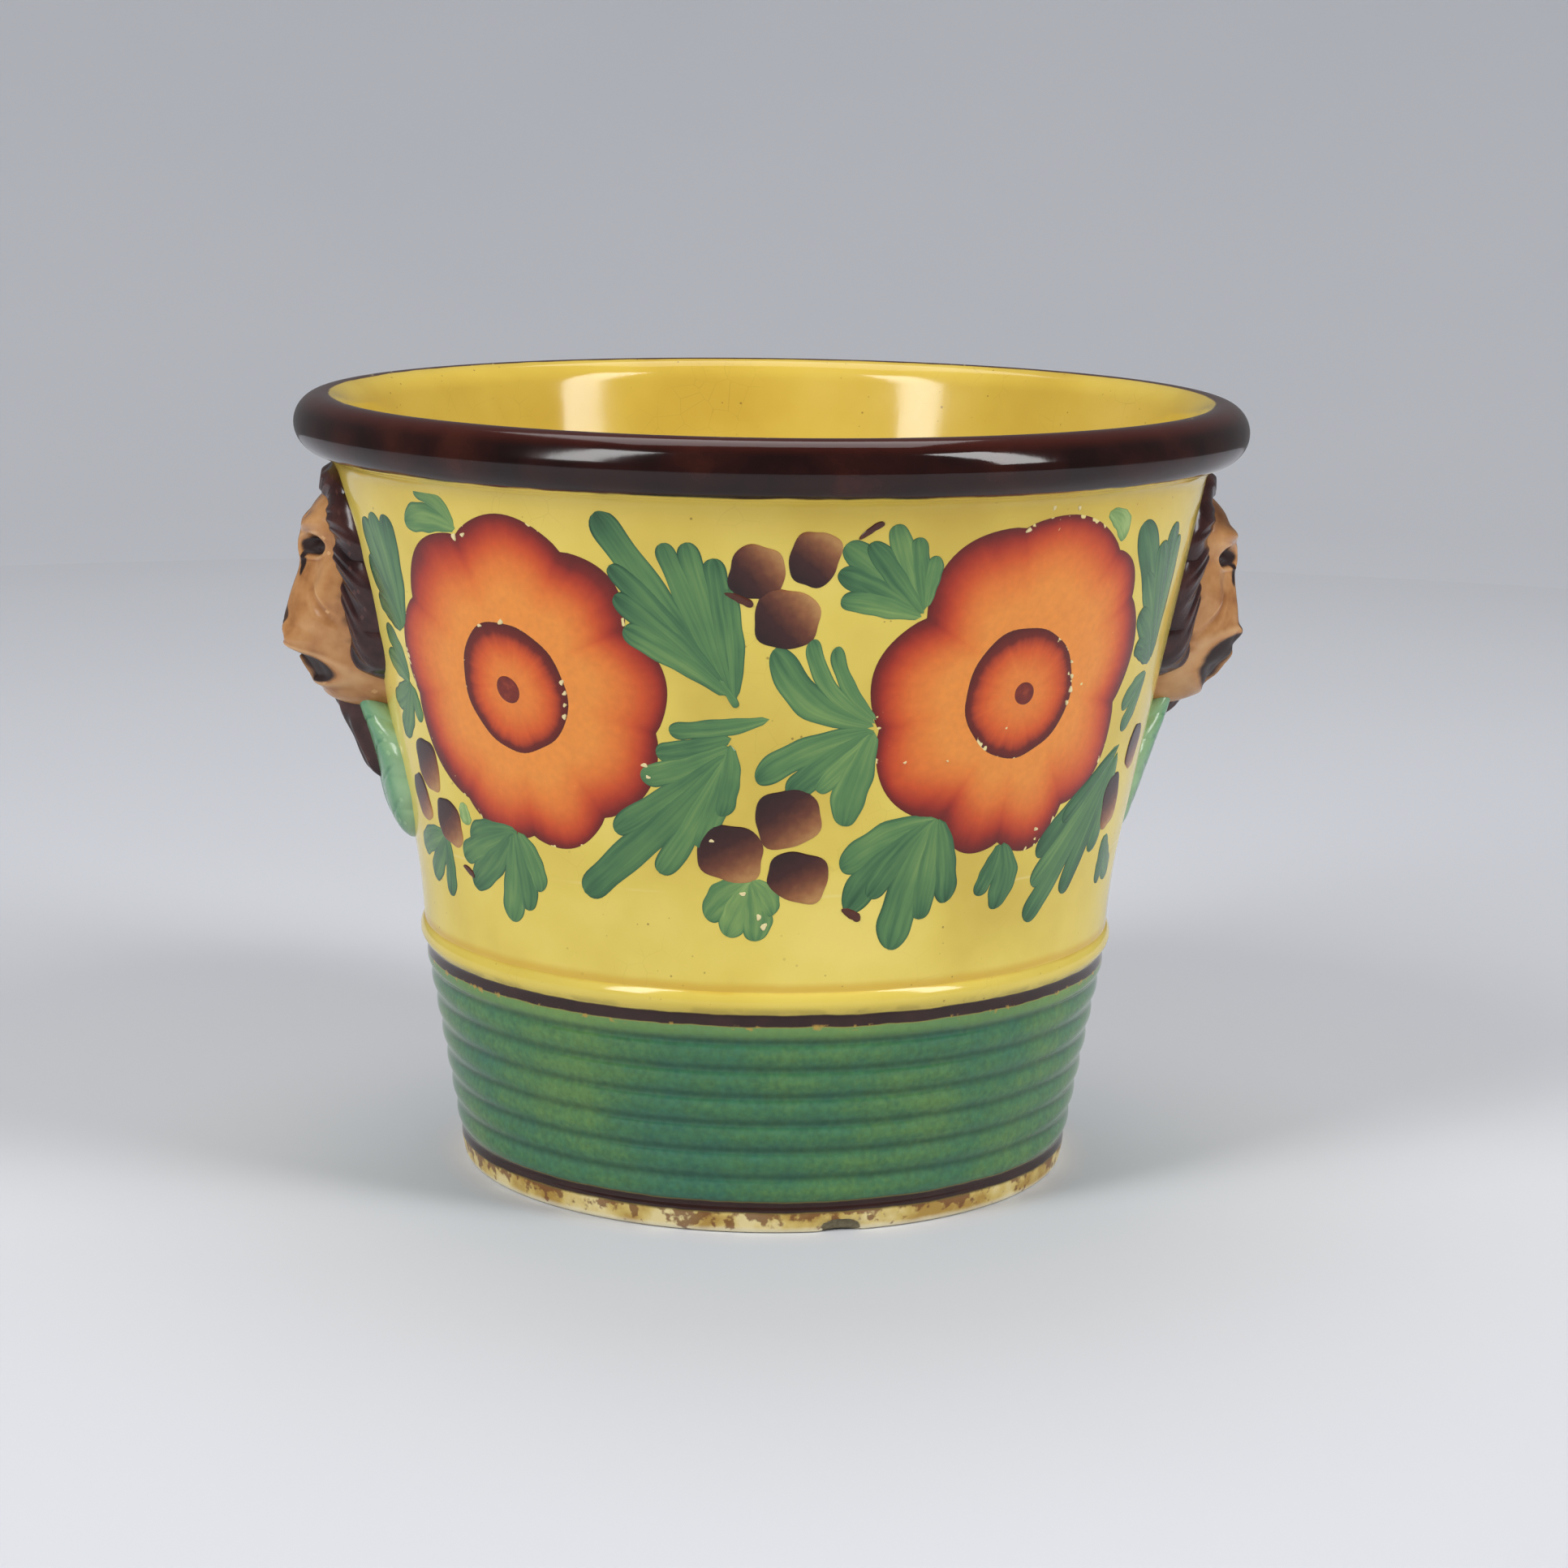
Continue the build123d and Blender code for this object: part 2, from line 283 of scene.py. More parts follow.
def makePot():
    section = [(p.x * mm, 0, p.y * mm) for p in potSection()]
    mesh = bpy.data.meshes.new("pot")
    mesh.from_pydata(section, [(i, i + 1) for i in range(len(section) - 1)], [])
    pot = bpy.data.objects.new("pot", mesh)
    bpy.context.collection.objects.link(pot)
    pick(pot)
    bpy.ops.object.mode_set(mode="EDIT")
    bpy.ops.mesh.select_all(action="SELECT")
    bpy.ops.mesh.spin(steps=potForm["segments"], angle=2 * math.pi, center=(0, 0, 0), axis=(0, 0, 1))
    bpy.ops.mesh.select_all(action="SELECT")
    bpy.ops.mesh.remove_doubles(threshold=0.002 * mm)
    bpy.ops.mesh.normals_make_consistent(inside=False)
    bpy.ops.object.mode_set(mode="OBJECT")
    for v in pot.data.vertices:
        away = [(v.co[i] / mm - footChip["place"][i]) / footChip["size"][i] for i in range(3)]
        bite = max(1 - Vector(away).length_squared, 0)
        inward = Vector((-v.co.x, -v.co.y, 0.35 * v.co.xy.length)).normalized()
        v.co += inward * footChip["deep"] * bite**0.5 * mm
    bpy.ops.object.shade_smooth_by_angle(angle=math.radians(40))
    return pot


# lead glaze on buff earthenware: thick, wet-looking and uneven, with iron specks; brown lip and lines,
# green band, and a foot that is worn to the buff clay
potPaint = {
    "wallTones": ("#CEB34C", "#DCC458", "#E5CF69"), "insideTone": "#F6DA50", "beadTone": "#D6BE54",
    # the darker gold tone is painted shade, used for the lip's shadow on the wall below it and in the
    # crease above the bead
    "paintedShadeTone": "#C99A28", "lipTones": ("#190806", "#270E0A", "#39180F"), "litLipTopTone": "#46170D",
    "lineTones": ("#1E0F0D", "#3A211B"), "bandTones": ("#376B54", "#43724B", "#5A8047"),
    "bandTopTone": "#7C9A50",
    "footTones": ("#B08C40", "#D0B668", "#E2D096"), "footEdgeWornAndLit": "#E8E0C4", "stain": "#6E3A1C",
    "fleck": "#AE8A3C",
    "underBeadShade": "#8C7A34", "speck": "#6B4A22", "craze": "#8A6A2A", "chip": "#DCC88C",
    "bare": ("#4A4232", "#8F8468"), "ring": "#EDE0A0",
    "lipBelow": 140.2, "lipInside": 85.2, "wobble": 0.9,
}
# sizes of the unevenness in the glaze, in millimetres, and its detail
potGrain = {
    "brush": (9, 3), "cloud": (38, 4), "patch": (14, 2), "craze": (24, 2), "bandWide": (30, 3),
    "bandPatch": (5, 3), "bandFine": (1.0, 3), "bandGrain": (1.3, 3), "line": (6, 3), "fleck": (2.2, 3),
    "foot": (7, 4), "stain": (2.4, 5), "lip": (12, 4), "flake": (1.5, 2), "stretch": (32, 2),
    "break": (1.4, 3), "bare": (0.8, 3), "gloss": (20, 4), "ripple": (16, 3), "skin": (1.6, 3),
    "grit": (0.9, 4),
}


def potGlaze():
    material, put, links, shader = startMaterial("leadGlazedEarthenware")
    coords = put("ShaderNodeTexCoord").outputs["Object"]
    # millimetres
    place = put("ShaderNodeVectorMath", {"operation": "SCALE"}, {0: coords, "Scale": 1000.0})
    z = put("ShaderNodeSeparateXYZ", None, {0: place}).outputs["Z"]
    flat = put("ShaderNodeVectorMath", {"operation": "MULTIPLY"}, {0: place, 1: (1, 1, 0)})
    radius = put("ShaderNodeVectorMath", {"operation": "LENGTH"}, {0: flat}).outputs["Value"]
    grain = {}
    for name, (size, detail) in potGrain.items():
        grain[name] = put("ShaderNodeTexNoise", None,
                          {"Vector": place, "Scale": 1 / size, "Detail": detail})
    # a brush never runs quite true round the wheel
    wobble = potPaint["wobble"]
    shake = put("ShaderNodeMath", {"operation": "MULTIPLY_ADD"},
                {0: grain["brush"], 1: wobble, 2: -wobble / 2})
    height = put("ShaderNodeMath", {"operation": "ADD"}, {0: z, 1: shake})
    reach = put("ShaderNodeMath", {"operation": "ADD"}, {0: radius, 1: shake})
    # the outside is beyond a cone that lies within the wall
    cone = put("ShaderNodeMath", {"operation": "MULTIPLY_ADD"}, {0: z, 1: 0.15, 2: 57.0})
    apart = put("ShaderNodeMath", {"operation": "SUBTRACT"}, {0: radius, 1: cone})
    # iron specks, a few to the square centimetre, and crazing, a fine net of hairlines
    cells = put("ShaderNodeTexVoronoi", None, {"Vector": place, "Scale": 1 / 2.6})
    speckSize = put("ShaderNodeMath", {"operation": "MULTIPLY"}, {0: cells.outputs["Color"], 1: 0.12})
    speck = put("ShaderNodeMath", {"operation": "SUBTRACT"}, {0: speckSize, 1: cells.outputs["Distance"]})
    net = put("ShaderNodeTexVoronoi", {"feature": "DISTANCE_TO_EDGE"}, {"Vector": place, "Scale": 1 / 5.0})
    # place in a reed, from 0 in the groove to 0.5 on the crest
    pitch = potForm["reedPitch"]
    phase = put("ShaderNodeMath", {"operation": "MULTIPLY_ADD"},
                {0: z, 1: 1 / pitch, 2: -reedBase / pitch})
    phase = put("ShaderNodeMath", {"operation": "FRACT"}, {0: phase})
    crest = put("ShaderNodeMath", {"operation": "PINGPONG"}, {0: phase, 1: 0.5})
    # the green runs thick in the grooves and thin on the crests, in patches of blue and of yellow
    mottle = 0.0
    for part, weight in ((grain["bandWide"], 0.6), (grain["bandPatch"], 0.2), (grain["bandFine"], 0.22),
                         (crest, 0.18)):
        mottle = put("ShaderNodeMath", {"operation": "MULTIPLY_ADD"}, {0: part, 1: weight, 2: mottle})
    # rust has run down from the brown line on the foot
    below = put("ShaderNodeMapRange", None, {0: height, 1: 0.6, 2: 4.2, 3: 0.0, 4: 0.2})
    rust = put("ShaderNodeMath", {"operation": "ADD"}, {0: below, 1: grain["stain"]})
    # distance from the chip in the foot, with a ragged edge
    chipAway = put("ShaderNodeVectorMath", {"operation": "SUBTRACT"}, {0: place, 1: footChip["place"]})
    chipAway = put("ShaderNodeVectorMath", {"operation": "DIVIDE"}, {0: chipAway, 1: footChip["size"]})
    chipAway = put("ShaderNodeVectorMath", {"operation": "LENGTH"}, {0: chipAway}).outputs["Value"]
    chipAway = put("ShaderNodeMath", {"operation": "MULTIPLY_ADD"},
                   {0: grain["break"], 1: 0.5, 2: chipAway})

    # each mask rises from 0 at its first value to 1 at its second
    lipLow, lipIn = potPaint["lipBelow"], potPaint["lipInside"]
    limits = {
        "outside": (apart, -0.2, 0.2), "inside": (apart, 0.2, -0.2), "neck": (z, 126, 140.5),
        "beadFrom": (height, beadBase, beadBase + 0.6), "beadTo": (height, 48.2, 47.0),
        "creaseFrom": (height, 47.4, 48.3), "creaseTo": (height, 50.2, 48.6),
        "underFrom": (height, beadBase, beadBase + 0.4),
        "underTo": (height, beadBase + 1.9, beadBase + 0.7), "underPatch": (grain["line"], 0.4, 0.6),
        "speck": (speck, -0.03, 0.03), "speckPatch": (grain["patch"], 0.4, 0.6),
        "hairline": (net, 0.02, 0.0), "crazed": (grain["craze"], 0.5, 0.7),
        "bandTop": (height, reedTop - 0.4, reedTop + 1.6), "lipTop": (z, 147.6, 150.2),
        "rubbed": (height, 1.6, 0.3), "rust": (rust, 0.6, 0.7), "rimFrom": (reach, 84.9, 85.3),
        "rimTo": (reach, 87.4, 86.2), "rimHigh": (z, 147.5, 148.5), "flake": (grain["flake"], 0.66, 0.69),
        "flakeStretch": (grain["stretch"], 0.46, 0.54),
        "lineFrom": (height, lineBase - 0.25, lineBase + 0.1),
        "lineTo": (height, beadBase + 0.3, beadBase - 0.1),
        "fleckFrom": (height, lineBase - 0.9, lineBase - 0.4),
        "fleckTo": (height, lineBase + 0.5, lineBase), "fleck": (grain["fleck"], 0.58, 0.66),
        "footLineFrom": (height, 3.7, 4.4), "footLineTo": (height, 6.7, 6.0),
        "greenFrom": (height, 6.0, 6.5), "greenTo": (height, lineBase + 0.1, lineBase - 0.25),
        "foot": (height, 4.4, 3.9), "lipFrom": (height, lipLow - 0.2, lipLow + 0.3),
        "lipOut": (reach, lipIn - 0.25, lipIn + 0.25), "broken": (chipAway, 1.3, 1.2),
        "ringFrom": (height, 66.0, 66.3), "ringTo": (height, 66.8, 66.5),
    }
    masks = {}
    for name, (value, start, full) in limits.items():
        masks[name] = put("ShaderNodeMapRange", {"interpolation_type": "SMOOTHSTEP"},
                          {0: value, 1: start, 2: full})

    tones = {}
    ramps = {"wall": (grain["cloud"], 0.34, 0.66), "band": (mottle, 0.43, 0.72),
             "foot": (grain["foot"], 0.36, 0.62), "lip": (grain["lip"], 0.34, 0.7)}
    for name, (value, low, high) in ramps.items():
        stops = list(zip((low, (low + high) / 2, high), potPaint[name + "Tones"]))
        tones[name] = put("ShaderNodeValToRGB", {"stops": stops}, {0: value})
    for name, pair in (("line", potPaint["lineTones"]), ("bare", potPaint["bare"])):
        tones[name] = put("ShaderNodeMix", {"data_type": "RGBA"}, {0: grain[name], 6: pair[0], 7: pair[1]})
    groove = put("ShaderNodeMapRange", {"interpolation_type": "SMOOTHSTEP"},
                 {0: crest, 1: 0.0, 2: 0.24, 3: 0.62, 4: 1.0})
    sand = put("ShaderNodeMapRange", None, {0: grain["bandGrain"], 1: 0.3, 2: 0.7, 3: 0.84, 4: 1.14})
    shade = put("ShaderNodeMath", {"operation": "MULTIPLY"}, {0: groove, 1: sand})
    tones["band"] = put("ShaderNodeVectorMath", {"operation": "SCALE"}, {0: tones["band"], "Scale": shade})

    # coats in the order they were laid: which coat it goes on, its tone, and the masks that hold it in
    coats = (
        ("wall", potPaint["insideTone"], ("inside", 0.75)),
        # painted shadow of the lip on the wall just below it
        ("wall", potPaint["paintedShadeTone"], ("neck", "outside", 0.28)),
        ("wall", potPaint["beadTone"], ("beadFrom", "beadTo", "outside", 0.5)),
        # painted shade in the crease where the wall meets the top of the bead
        ("wall", potPaint["paintedShadeTone"], ("creaseFrom", "creaseTo", "outside", 0.6)),
        # painted shade under the bead, broken into olive patches
        ("wall", potPaint["underBeadShade"], ("underFrom", "underTo", "underPatch", "outside", 0.35)),
        # a pale line of painted highlight where a faint ridge left by the turning tool catches the light;
        # the ridge itself is not modelled
        ("wall", potPaint["ring"], ("ringFrom", "ringTo", "speckPatch", "outside", 0.25)),
        ("wall", potPaint["speck"], ("speck", "speckPatch", 0.65)),
        ("wall", potPaint["craze"], ("hairline", "crazed", "outside", 0.18)),
        ("band", potPaint["bandTopTone"], ("bandTop", 0.45)),
        # the pale bottom edge of the foot: partly glaze rubbed thin, partly a painted highlight
        ("foot", potPaint["footEdgeWornAndLit"], ("rubbed", 0.8)), ("foot", potPaint["stain"], ("rust", 0.8)),
        # the top of the lip painted a lighter red-brown: painted sheen where it faces up to the lamps
        ("lip", potPaint["litLipTopTone"], ("lipTop", 0.75)),
        ("wall", "band", ("greenFrom", "greenTo", "outside")),
        ("wall", "line", ("lineFrom", "lineTo", "outside")),
        ("wall", potPaint["fleck"], ("fleckFrom", "fleckTo", "fleck", "outside", 0.8)),
        ("wall", "foot", ("foot", 1.0)), ("wall", "line", ("footLineFrom", "footLineTo")),
        ("wall", "lip", ("lipFrom", "lipOut")),
        ("wall", potPaint["chip"], ("rimFrom", "rimTo", "rimHigh", "flake", "flakeStretch")),
        ("wall", "bare", ("broken", 1.0)),
    )
    for under, over, holds in coats:
        share = masks[holds[0]]
        for hold in holds[1:]:
            share = put("ShaderNodeMath", {"operation": "MULTIPLY"}, {0: share, 1: masks.get(hold, hold)})
        tones[under] = put("ShaderNodeMix", {"data_type": "RGBA"},
                           {0: share, 6: tones[under], 7: tones.get(over, over)})
    links.new(tones["wall"].outputs[2], shader.inputs["Base Color"])

    # wet gloss, a little duller where the glaze is thin; the worn foot and the chip are drier
    gloss = put("ShaderNodeMapRange", None, {0: grain["gloss"], 1: 0.3, 2: 0.7, 3: 0.07, 4: 0.16})
    dry = put("ShaderNodeMix", {"data_type": "FLOAT"}, {0: masks["foot"], 2: gloss, 3: 0.38})
    rough = put("ShaderNodeMix", {"data_type": "FLOAT"}, {0: masks["broken"], 2: dry, 3: 0.8})
    links.new(rough.outputs[0], shader.inputs["Roughness"])
    shader.inputs["IOR"].default_value = 1.42
    worn = put("ShaderNodeMath", {"operation": "MULTIPLY"}, {0: masks["foot"], 1: 0.4})
    skin = put("ShaderNodeBump", None, {"Strength": 0.3, "Distance": 0.25 * mm, "Height": grain["ripple"]})
    for strength, deep, name in ((0.15, 0.06, "skin"), (worn, 0.2, "grit")):
        skin = put("ShaderNodeBump", None,
                   {"Strength": strength, "Distance": deep * mm, "Height": grain[name], "Normal": skin})
    links.new(skin.outputs[0], shader.inputs["Normal"])
    return material


pot = makePot()
finishPiece(pot, potGlaze(), "yellow_glaze", "pot_body")
print("pot turned and glazed:", len(pot.data.polygons), "faces")


# Painting. The wall is drawn on flat, as (along, up): millimetres of arc at the mid wall, and of height.
drawingRadius = 77.0


def wallPlace(along, up, lift):
    turn = along / drawingRadius
    r = wallRadius(up) + lift
    return Vector((r * math.sin(turn), -r * math.cos(turn), up)) * mm


def gridSheet(columns, rows):
    clearSelection()
    bpy.ops.mesh.primitive_grid_add(x_subdivisions=columns, y_subdivisions=rows, size=2)
    return bpy.context.object


def setPoints(piece, values, name):
    layer = piece.data.attributes.new(name, "FLOAT", "POINT")
    layer.data.foreach_set("value", values)


# one pull of the brush: narrow where it lands, full and blunt at its tip
def brushStroke(start, tip, width, bend, lift, tone):
    sheet = gridSheet(24, 6)
    start, tip = Vector(start), Vector(tip)
    run = tip - start
    side = Vector((-run.y, run.x)).normalized()
    blunt = min(0.8 * width / run.length, 0.45)
    wave = random.uniform(0, 6.28)
    for v in sheet.data.vertices:
        u = (v.co.x + 1) / 2
        t = 1 - (1 - u) ** 1.6
        across = v.co.y
        half = 0.5 * width * (0.34 + 0.66 * math.sin(math.pi / 2 * min(t / 0.6, 1)))
        half *= max(1 - max((t - 1 + blunt) / blunt, 0) ** 2.4, 0) ** (1 / 2.2)
        half *= max(1 - max(1 - t / 0.08, 0) ** 2, 0) ** 0.5
        half *= 1 + 0.07 * math.sin(8 * t + wave + 1.9 * (across > 0)) + 0.04 * math.sin(21 * t + 2 * wave)
        place = start + run * t + side * (bend * math.sin(math.pi * t) + half * across)
        v.co = wallPlace(place.x, place.y, lift * (1 - 0.75 * across**6))
    setPoints(sheet, [tone] * len(sheet.data.vertices), "tone")
    return sheet


# a filled shape with rings from its middle to its edge; depth holds the distance to the edge, in mm
def filledShape(middle, outline, rings, lift):
    sheet = gridSheet(len(outline), rings)
    middle = Vector(middle)
    depths = []
    for v in sheet.data.vertices:
        edge = outline[round((v.co.x + 1) / 2 * len(outline)) % len(outline)]
        out = 1 - (1 - (v.co.y + 1) / 2) ** 1.25
        place = middle.lerp(Vector(edge), out)
        depths.append((Vector(edge) - place).length)
        v.co = wallPlace(place.x, place.y, lift * (1 - 0.75 * out**24))
    setPoints(sheet, depths, "depth")
    return sheet


# joins films, shuts them to thin closed skins whose backs lie in the glaze
def paintPiece(sheets, name):
    piece = joinPieces(sheets, name)
    mergePoints(piece, 0.004 * mm)
    shape = bmesh.new()
    shape.from_mesh(piece.data)
    for face in shape.faces:
        centre = face.calc_center_median()
        if face.normal.x * centre.x + face.normal.y * centre.y < 0:
            face.normal_flip()
    shape.to_mesh(piece.data)
    shape.free()
    applyModifier(piece, "film", "SOLIDIFY", thickness=0.11 * mm, offset=-1.0)
    pick(piece)
    bpy.ops.object.shade_smooth_by_angle(angle=math.radians(30))
    return piece


# The two flowers: notches between the petals, clockwise, each with the swell of the petal that follows it
flowers = (
    {"middle": (-57.6, 103.4), "heart": (-57.5, 102.4), "heartSize": (12.1, 12.6), "dot": (-58.4, 102.0),
     "dotSize": 2.6, "petals": ((-65.9, 129.8, 5.4), (-43.8, 128.7, 4.2), (-33.0, 115.6, 4.6),
                                (-28.4, 96.5, 4.4), (-39.9, 79.7, 4.0),
                (-57.0, 74.4, 3.2), (-74.6, 79.2, 4.2), (-86.4, 97.6, 4.2), (-81.9, 116.4, 4.8))},
    {"middle": (41.0, 103.8), "heart": (40.6, 102.8), "heartSize": (12.4, 12.8), "dot": (41.1, 102.7),
     "dotSize": 2.2, "petals": ((36.0, 133.6, 4.4), (59.6, 127.7, 2.4), (67.1, 118.1, 4.4),
                                (68.5, 97.9, 5.8), (57.0, 79.7, 5.0),
                (40.5, 74.4, 4.0), (26.2, 79.7, 5.6), (12.0, 97.6, 5.2), (19.0, 118.1, 5.8))},
)


def petalOutline(petals, steps):
    outline = []
    for i, (along, up, swell) in enumerate(petals):
        start = Vector((along, up))
        end = Vector(petals[(i + 1) % len(petals)][:2])
        run = end - start
        side = Vector((-run.y, run.x)).normalized()
        for step in range(steps):
            t = step / steps
            outline.append(start + run * t + side * swell * math.sin(math.pi * t) ** 0.8)
    return outline


def roundOutline(middle, size, waves, count):
    outline = []
    for i in range(count):
        turn = -2 * math.pi * i / count
        wave = 1 + sum(depth * math.cos(number * turn + shift) for number, depth, shift in waves)
        outline.append(Vector((middle[0] + size[0] * wave * math.cos(turn),
                               middle[1] + size[1] * wave * math.sin(turn))))
    return outline


# enamel colours fired on the glaze: flat brushed washes that darken where the loaded brush stopped
def enamel(name, rough):
    material, put, links, shader = startMaterial(name)
    shader.inputs["IOR"].default_value = 1.42
    coords = put("ShaderNodeTexCoord")
    place = put("ShaderNodeVectorMath", {"operation": "SCALE"},
                {0: coords.outputs["Object"], "Scale": 1000.0}).outputs[0]
    fine = put("ShaderNodeTexNoise", None,
               {"Vector": place, "Scale": 1 / 1.4, "Detail": 3.0}).outputs["Fac"]
    wide = put("ShaderNodeTexNoise", None,
               {"Vector": place, "Scale": 1 / 14.0, "Detail": 3.0}).outputs["Fac"]
    gloss = put("ShaderNodeMapRange", None,
                {0: wide, 1: 0.3, 2: 0.7, 3: rough - 0.04, 4: rough + 0.05}).outputs[0]
    links.new(gloss, shader.inputs["Roughness"])
    bump = put("ShaderNodeBump", None,
               {"Strength": 0.15, "Distance": 0.05 * mm, "Height": fine}).outputs[0]
    links.new(bump, shader.inputs["Normal"])
    return material, put, links, shader, coords, fine, wide


# chips of paint that have flaked off, along some stretches of the edge
def chipMask(put, coords, depth):
    place = put("ShaderNodeVectorMath", {"operation": "SCALE"},
                {0: coords.outputs["Object"], "Scale": 1000.0}).outputs[0]
    flakes = put("ShaderNodeTexNoise", None,
                 {"Vector": place, "Scale": 1 / 1.5, "Detail": 1.0}).outputs["Fac"]
    stretch = put("ShaderNodeTexNoise", None,
                  {"Vector": place, "Scale": 1 / 16.0, "Detail": 1.0}).outputs["Fac"]
    nearEdge = put("ShaderNodeMapRange", None, {0: depth, 1: 0.2, 2: 1.5, 3: 0.0, 4: -0.2}).outputs[0]
    patch = put("ShaderNodeMapRange", None, {0: stretch, 1: 0.45, 2: 0.6, 3: -0.2, 4: 0.0}).outputs[0]
    worn = put("ShaderNodeMath", {"operation": "ADD"}, {0: flakes, 1: nearEdge}).outputs[0]
    worn = put("ShaderNodeMath", {"operation": "ADD"}, {0: worn, 1: patch}).outputs[0]
    return put("ShaderNodeMapRange", None, {0: worn, 1: 0.58, 2: 0.61, 3: 0.0, 4: 1.0}).outputs[0]


petalWash = {"stops": [(0.0, "#5A160F"), (0.08, "#7A1D12"), (0.2, "#A63018"), (0.38, "#C84E1E"),
                       (0.62, "#DB722C"),
                       (1.0, "#E58C3A")], "width": 14.0, "chip": "#E3D28C", "streak": 0.4, "drift": 1.7}
heartWash = {"stops": [(0.0, "#4E150E"), (0.18, "#6A1C11"), (0.3, "#AC3C1A"), (0.46, "#CE541F"),
                       (0.75, "#DC702B"),
                       (1.0, "#E07D33")], "width": 9.0, "chip": "#E6D79A", "streak": 0.5, "drift": 0.9}


def washEnamel(name, wash, streaks):
    material, put, links, shader, coords, fine, wide = enamel(name, 0.2)
    depth = put("ShaderNodeAttribute", {"attribute_name": "depth"}).outputs["Fac"]
    # faint streaks run in from the edge, as the brush was pulled; the wash is wider on some petals than
    # on others
    ray = put("ShaderNodeVectorMath", {"operation": "MULTIPLY"},
              {0: coords.outputs["UV"], 1: (streaks, 1.5, 1)}).outputs[0]
    hairs = put("ShaderNodeTexNoise", None, {"Vector": ray, "Scale": 1.0, "Detail": 3.0}).outputs["Fac"]
    swell = put("ShaderNodeMapRange", None, {0: hairs, 1: 0.25, 2: 0.75, 3: -wash["streak"],
                                             4: wash["streak"]}).outputs[0]
    broad = put("ShaderNodeVectorMath", {"operation": "SCALE"},
                {0: coords.outputs["Object"], "Scale": 1000 / 26.0}).outputs[0]
    petalTurn = put("ShaderNodeTexNoise", None,
                    {"Vector": broad, "Scale": 1.0, "Detail": 1.0}).outputs["Fac"]
    drift = put("ShaderNodeMapRange", None, {0: petalTurn, 1: 0.3, 2: 0.7, 3: -wash["drift"],
                                             4: wash["drift"]}).outputs[0]
    inwards = put("ShaderNodeMapRange", None, {0: depth, 1: 0.0, 2: 2.5, 3: 0.15, 4: 1.0}).outputs[0]
    both = put("ShaderNodeMath", {"operation": "ADD"}, {0: swell, 1: drift}).outputs[0]
    eased = put("ShaderNodeMath", {"operation": "MULTIPLY_ADD"},
                {0: both, 1: inwards, 2: depth}).outputs[0]
    share = put("ShaderNodeMath", {"operation": "DIVIDE"}, {0: eased, 1: wash["width"]}).outputs[0]
    tone = put("ShaderNodeValToRGB", {"stops": wash["stops"]}, {0: share}).outputs[0]
    grain = put("ShaderNodeMapRange", None, {0: fine, 1: 0.3, 2: 0.7, 3: 0.94, 4: 1.05}).outputs[0]
    tone = put("ShaderNodeVectorMath", {"operation": "SCALE"}, {0: tone, "Scale": grain}).outputs[0]
    colour = put("ShaderNodeMix", {"data_type": "RGBA"},
                 {0: chipMask(put, coords, depth), 6: tone, 7: wash["chip"]}).outputs[2]
    links.new(colour, shader.inputs["Base Color"])
    return material


random.seed(11)
petalSheets = []
heartSheets = []
dotSheets = []
for flower in flowers:
    petalSheets.append(filledShape(flower["middle"], petalOutline(flower["petals"], 18), 26, 0.05))
    heartWaves = ((2, 0.03, 0.9), (3, 0.014, 0.4), (5, 0.01, 1.9), (9, 0.008, 0.7))
    heartEdge = roundOutline(flower["heart"], flower["heartSize"], heartWaves, 72)
    heartSheets.append(filledShape(flower["heart"], heartEdge, 16, 0.09))
    dotSize = (flower["dotSize"], flower["dotSize"] * 1.08)
    dotEdge = roundOutline(flower["dot"], dotSize, ((2, 0.08, 0.6),), 32)
    dotSheets.append(filledShape(flower["dot"], dotEdge, 8, 0.13))
petalEnamel = washEnamel("orangeRedEnamel", petalWash, 60.0)
heartEnamel = washEnamel("madderRingEnamel", heartWash, 40.0)


# the seed spot: dark on the left and brushed thin to the right
def dotEnamel():
    material, put, links, shader, coords, fine, wide = enamel("madderSpotEnamel", 0.2)
    depth = put("ShaderNodeAttribute", {"attribute_name": "depth"}).outputs["Fac"]
    tone = put("ShaderNodeMapRange", None, {0: fine, 1: 0.3, 2: 0.7, 3: 0.0, 4: 0.5}).outputs[0]
    share = put("ShaderNodeMath", {"operation": "MULTIPLY_ADD"}, {0: depth, 1: 0.12, 2: tone}).outputs[0]
    colour = put("ShaderNodeValToRGB", {"stops": [(0.0, "#5A1D17"), (0.5, "#7A2A1C"), (1.0, "#A8492A")]},
                 {0: share}).outputs[0]
    links.new(colour, shader.inputs["Base Color"])
    return material


spotEnamel = dotEnamel()

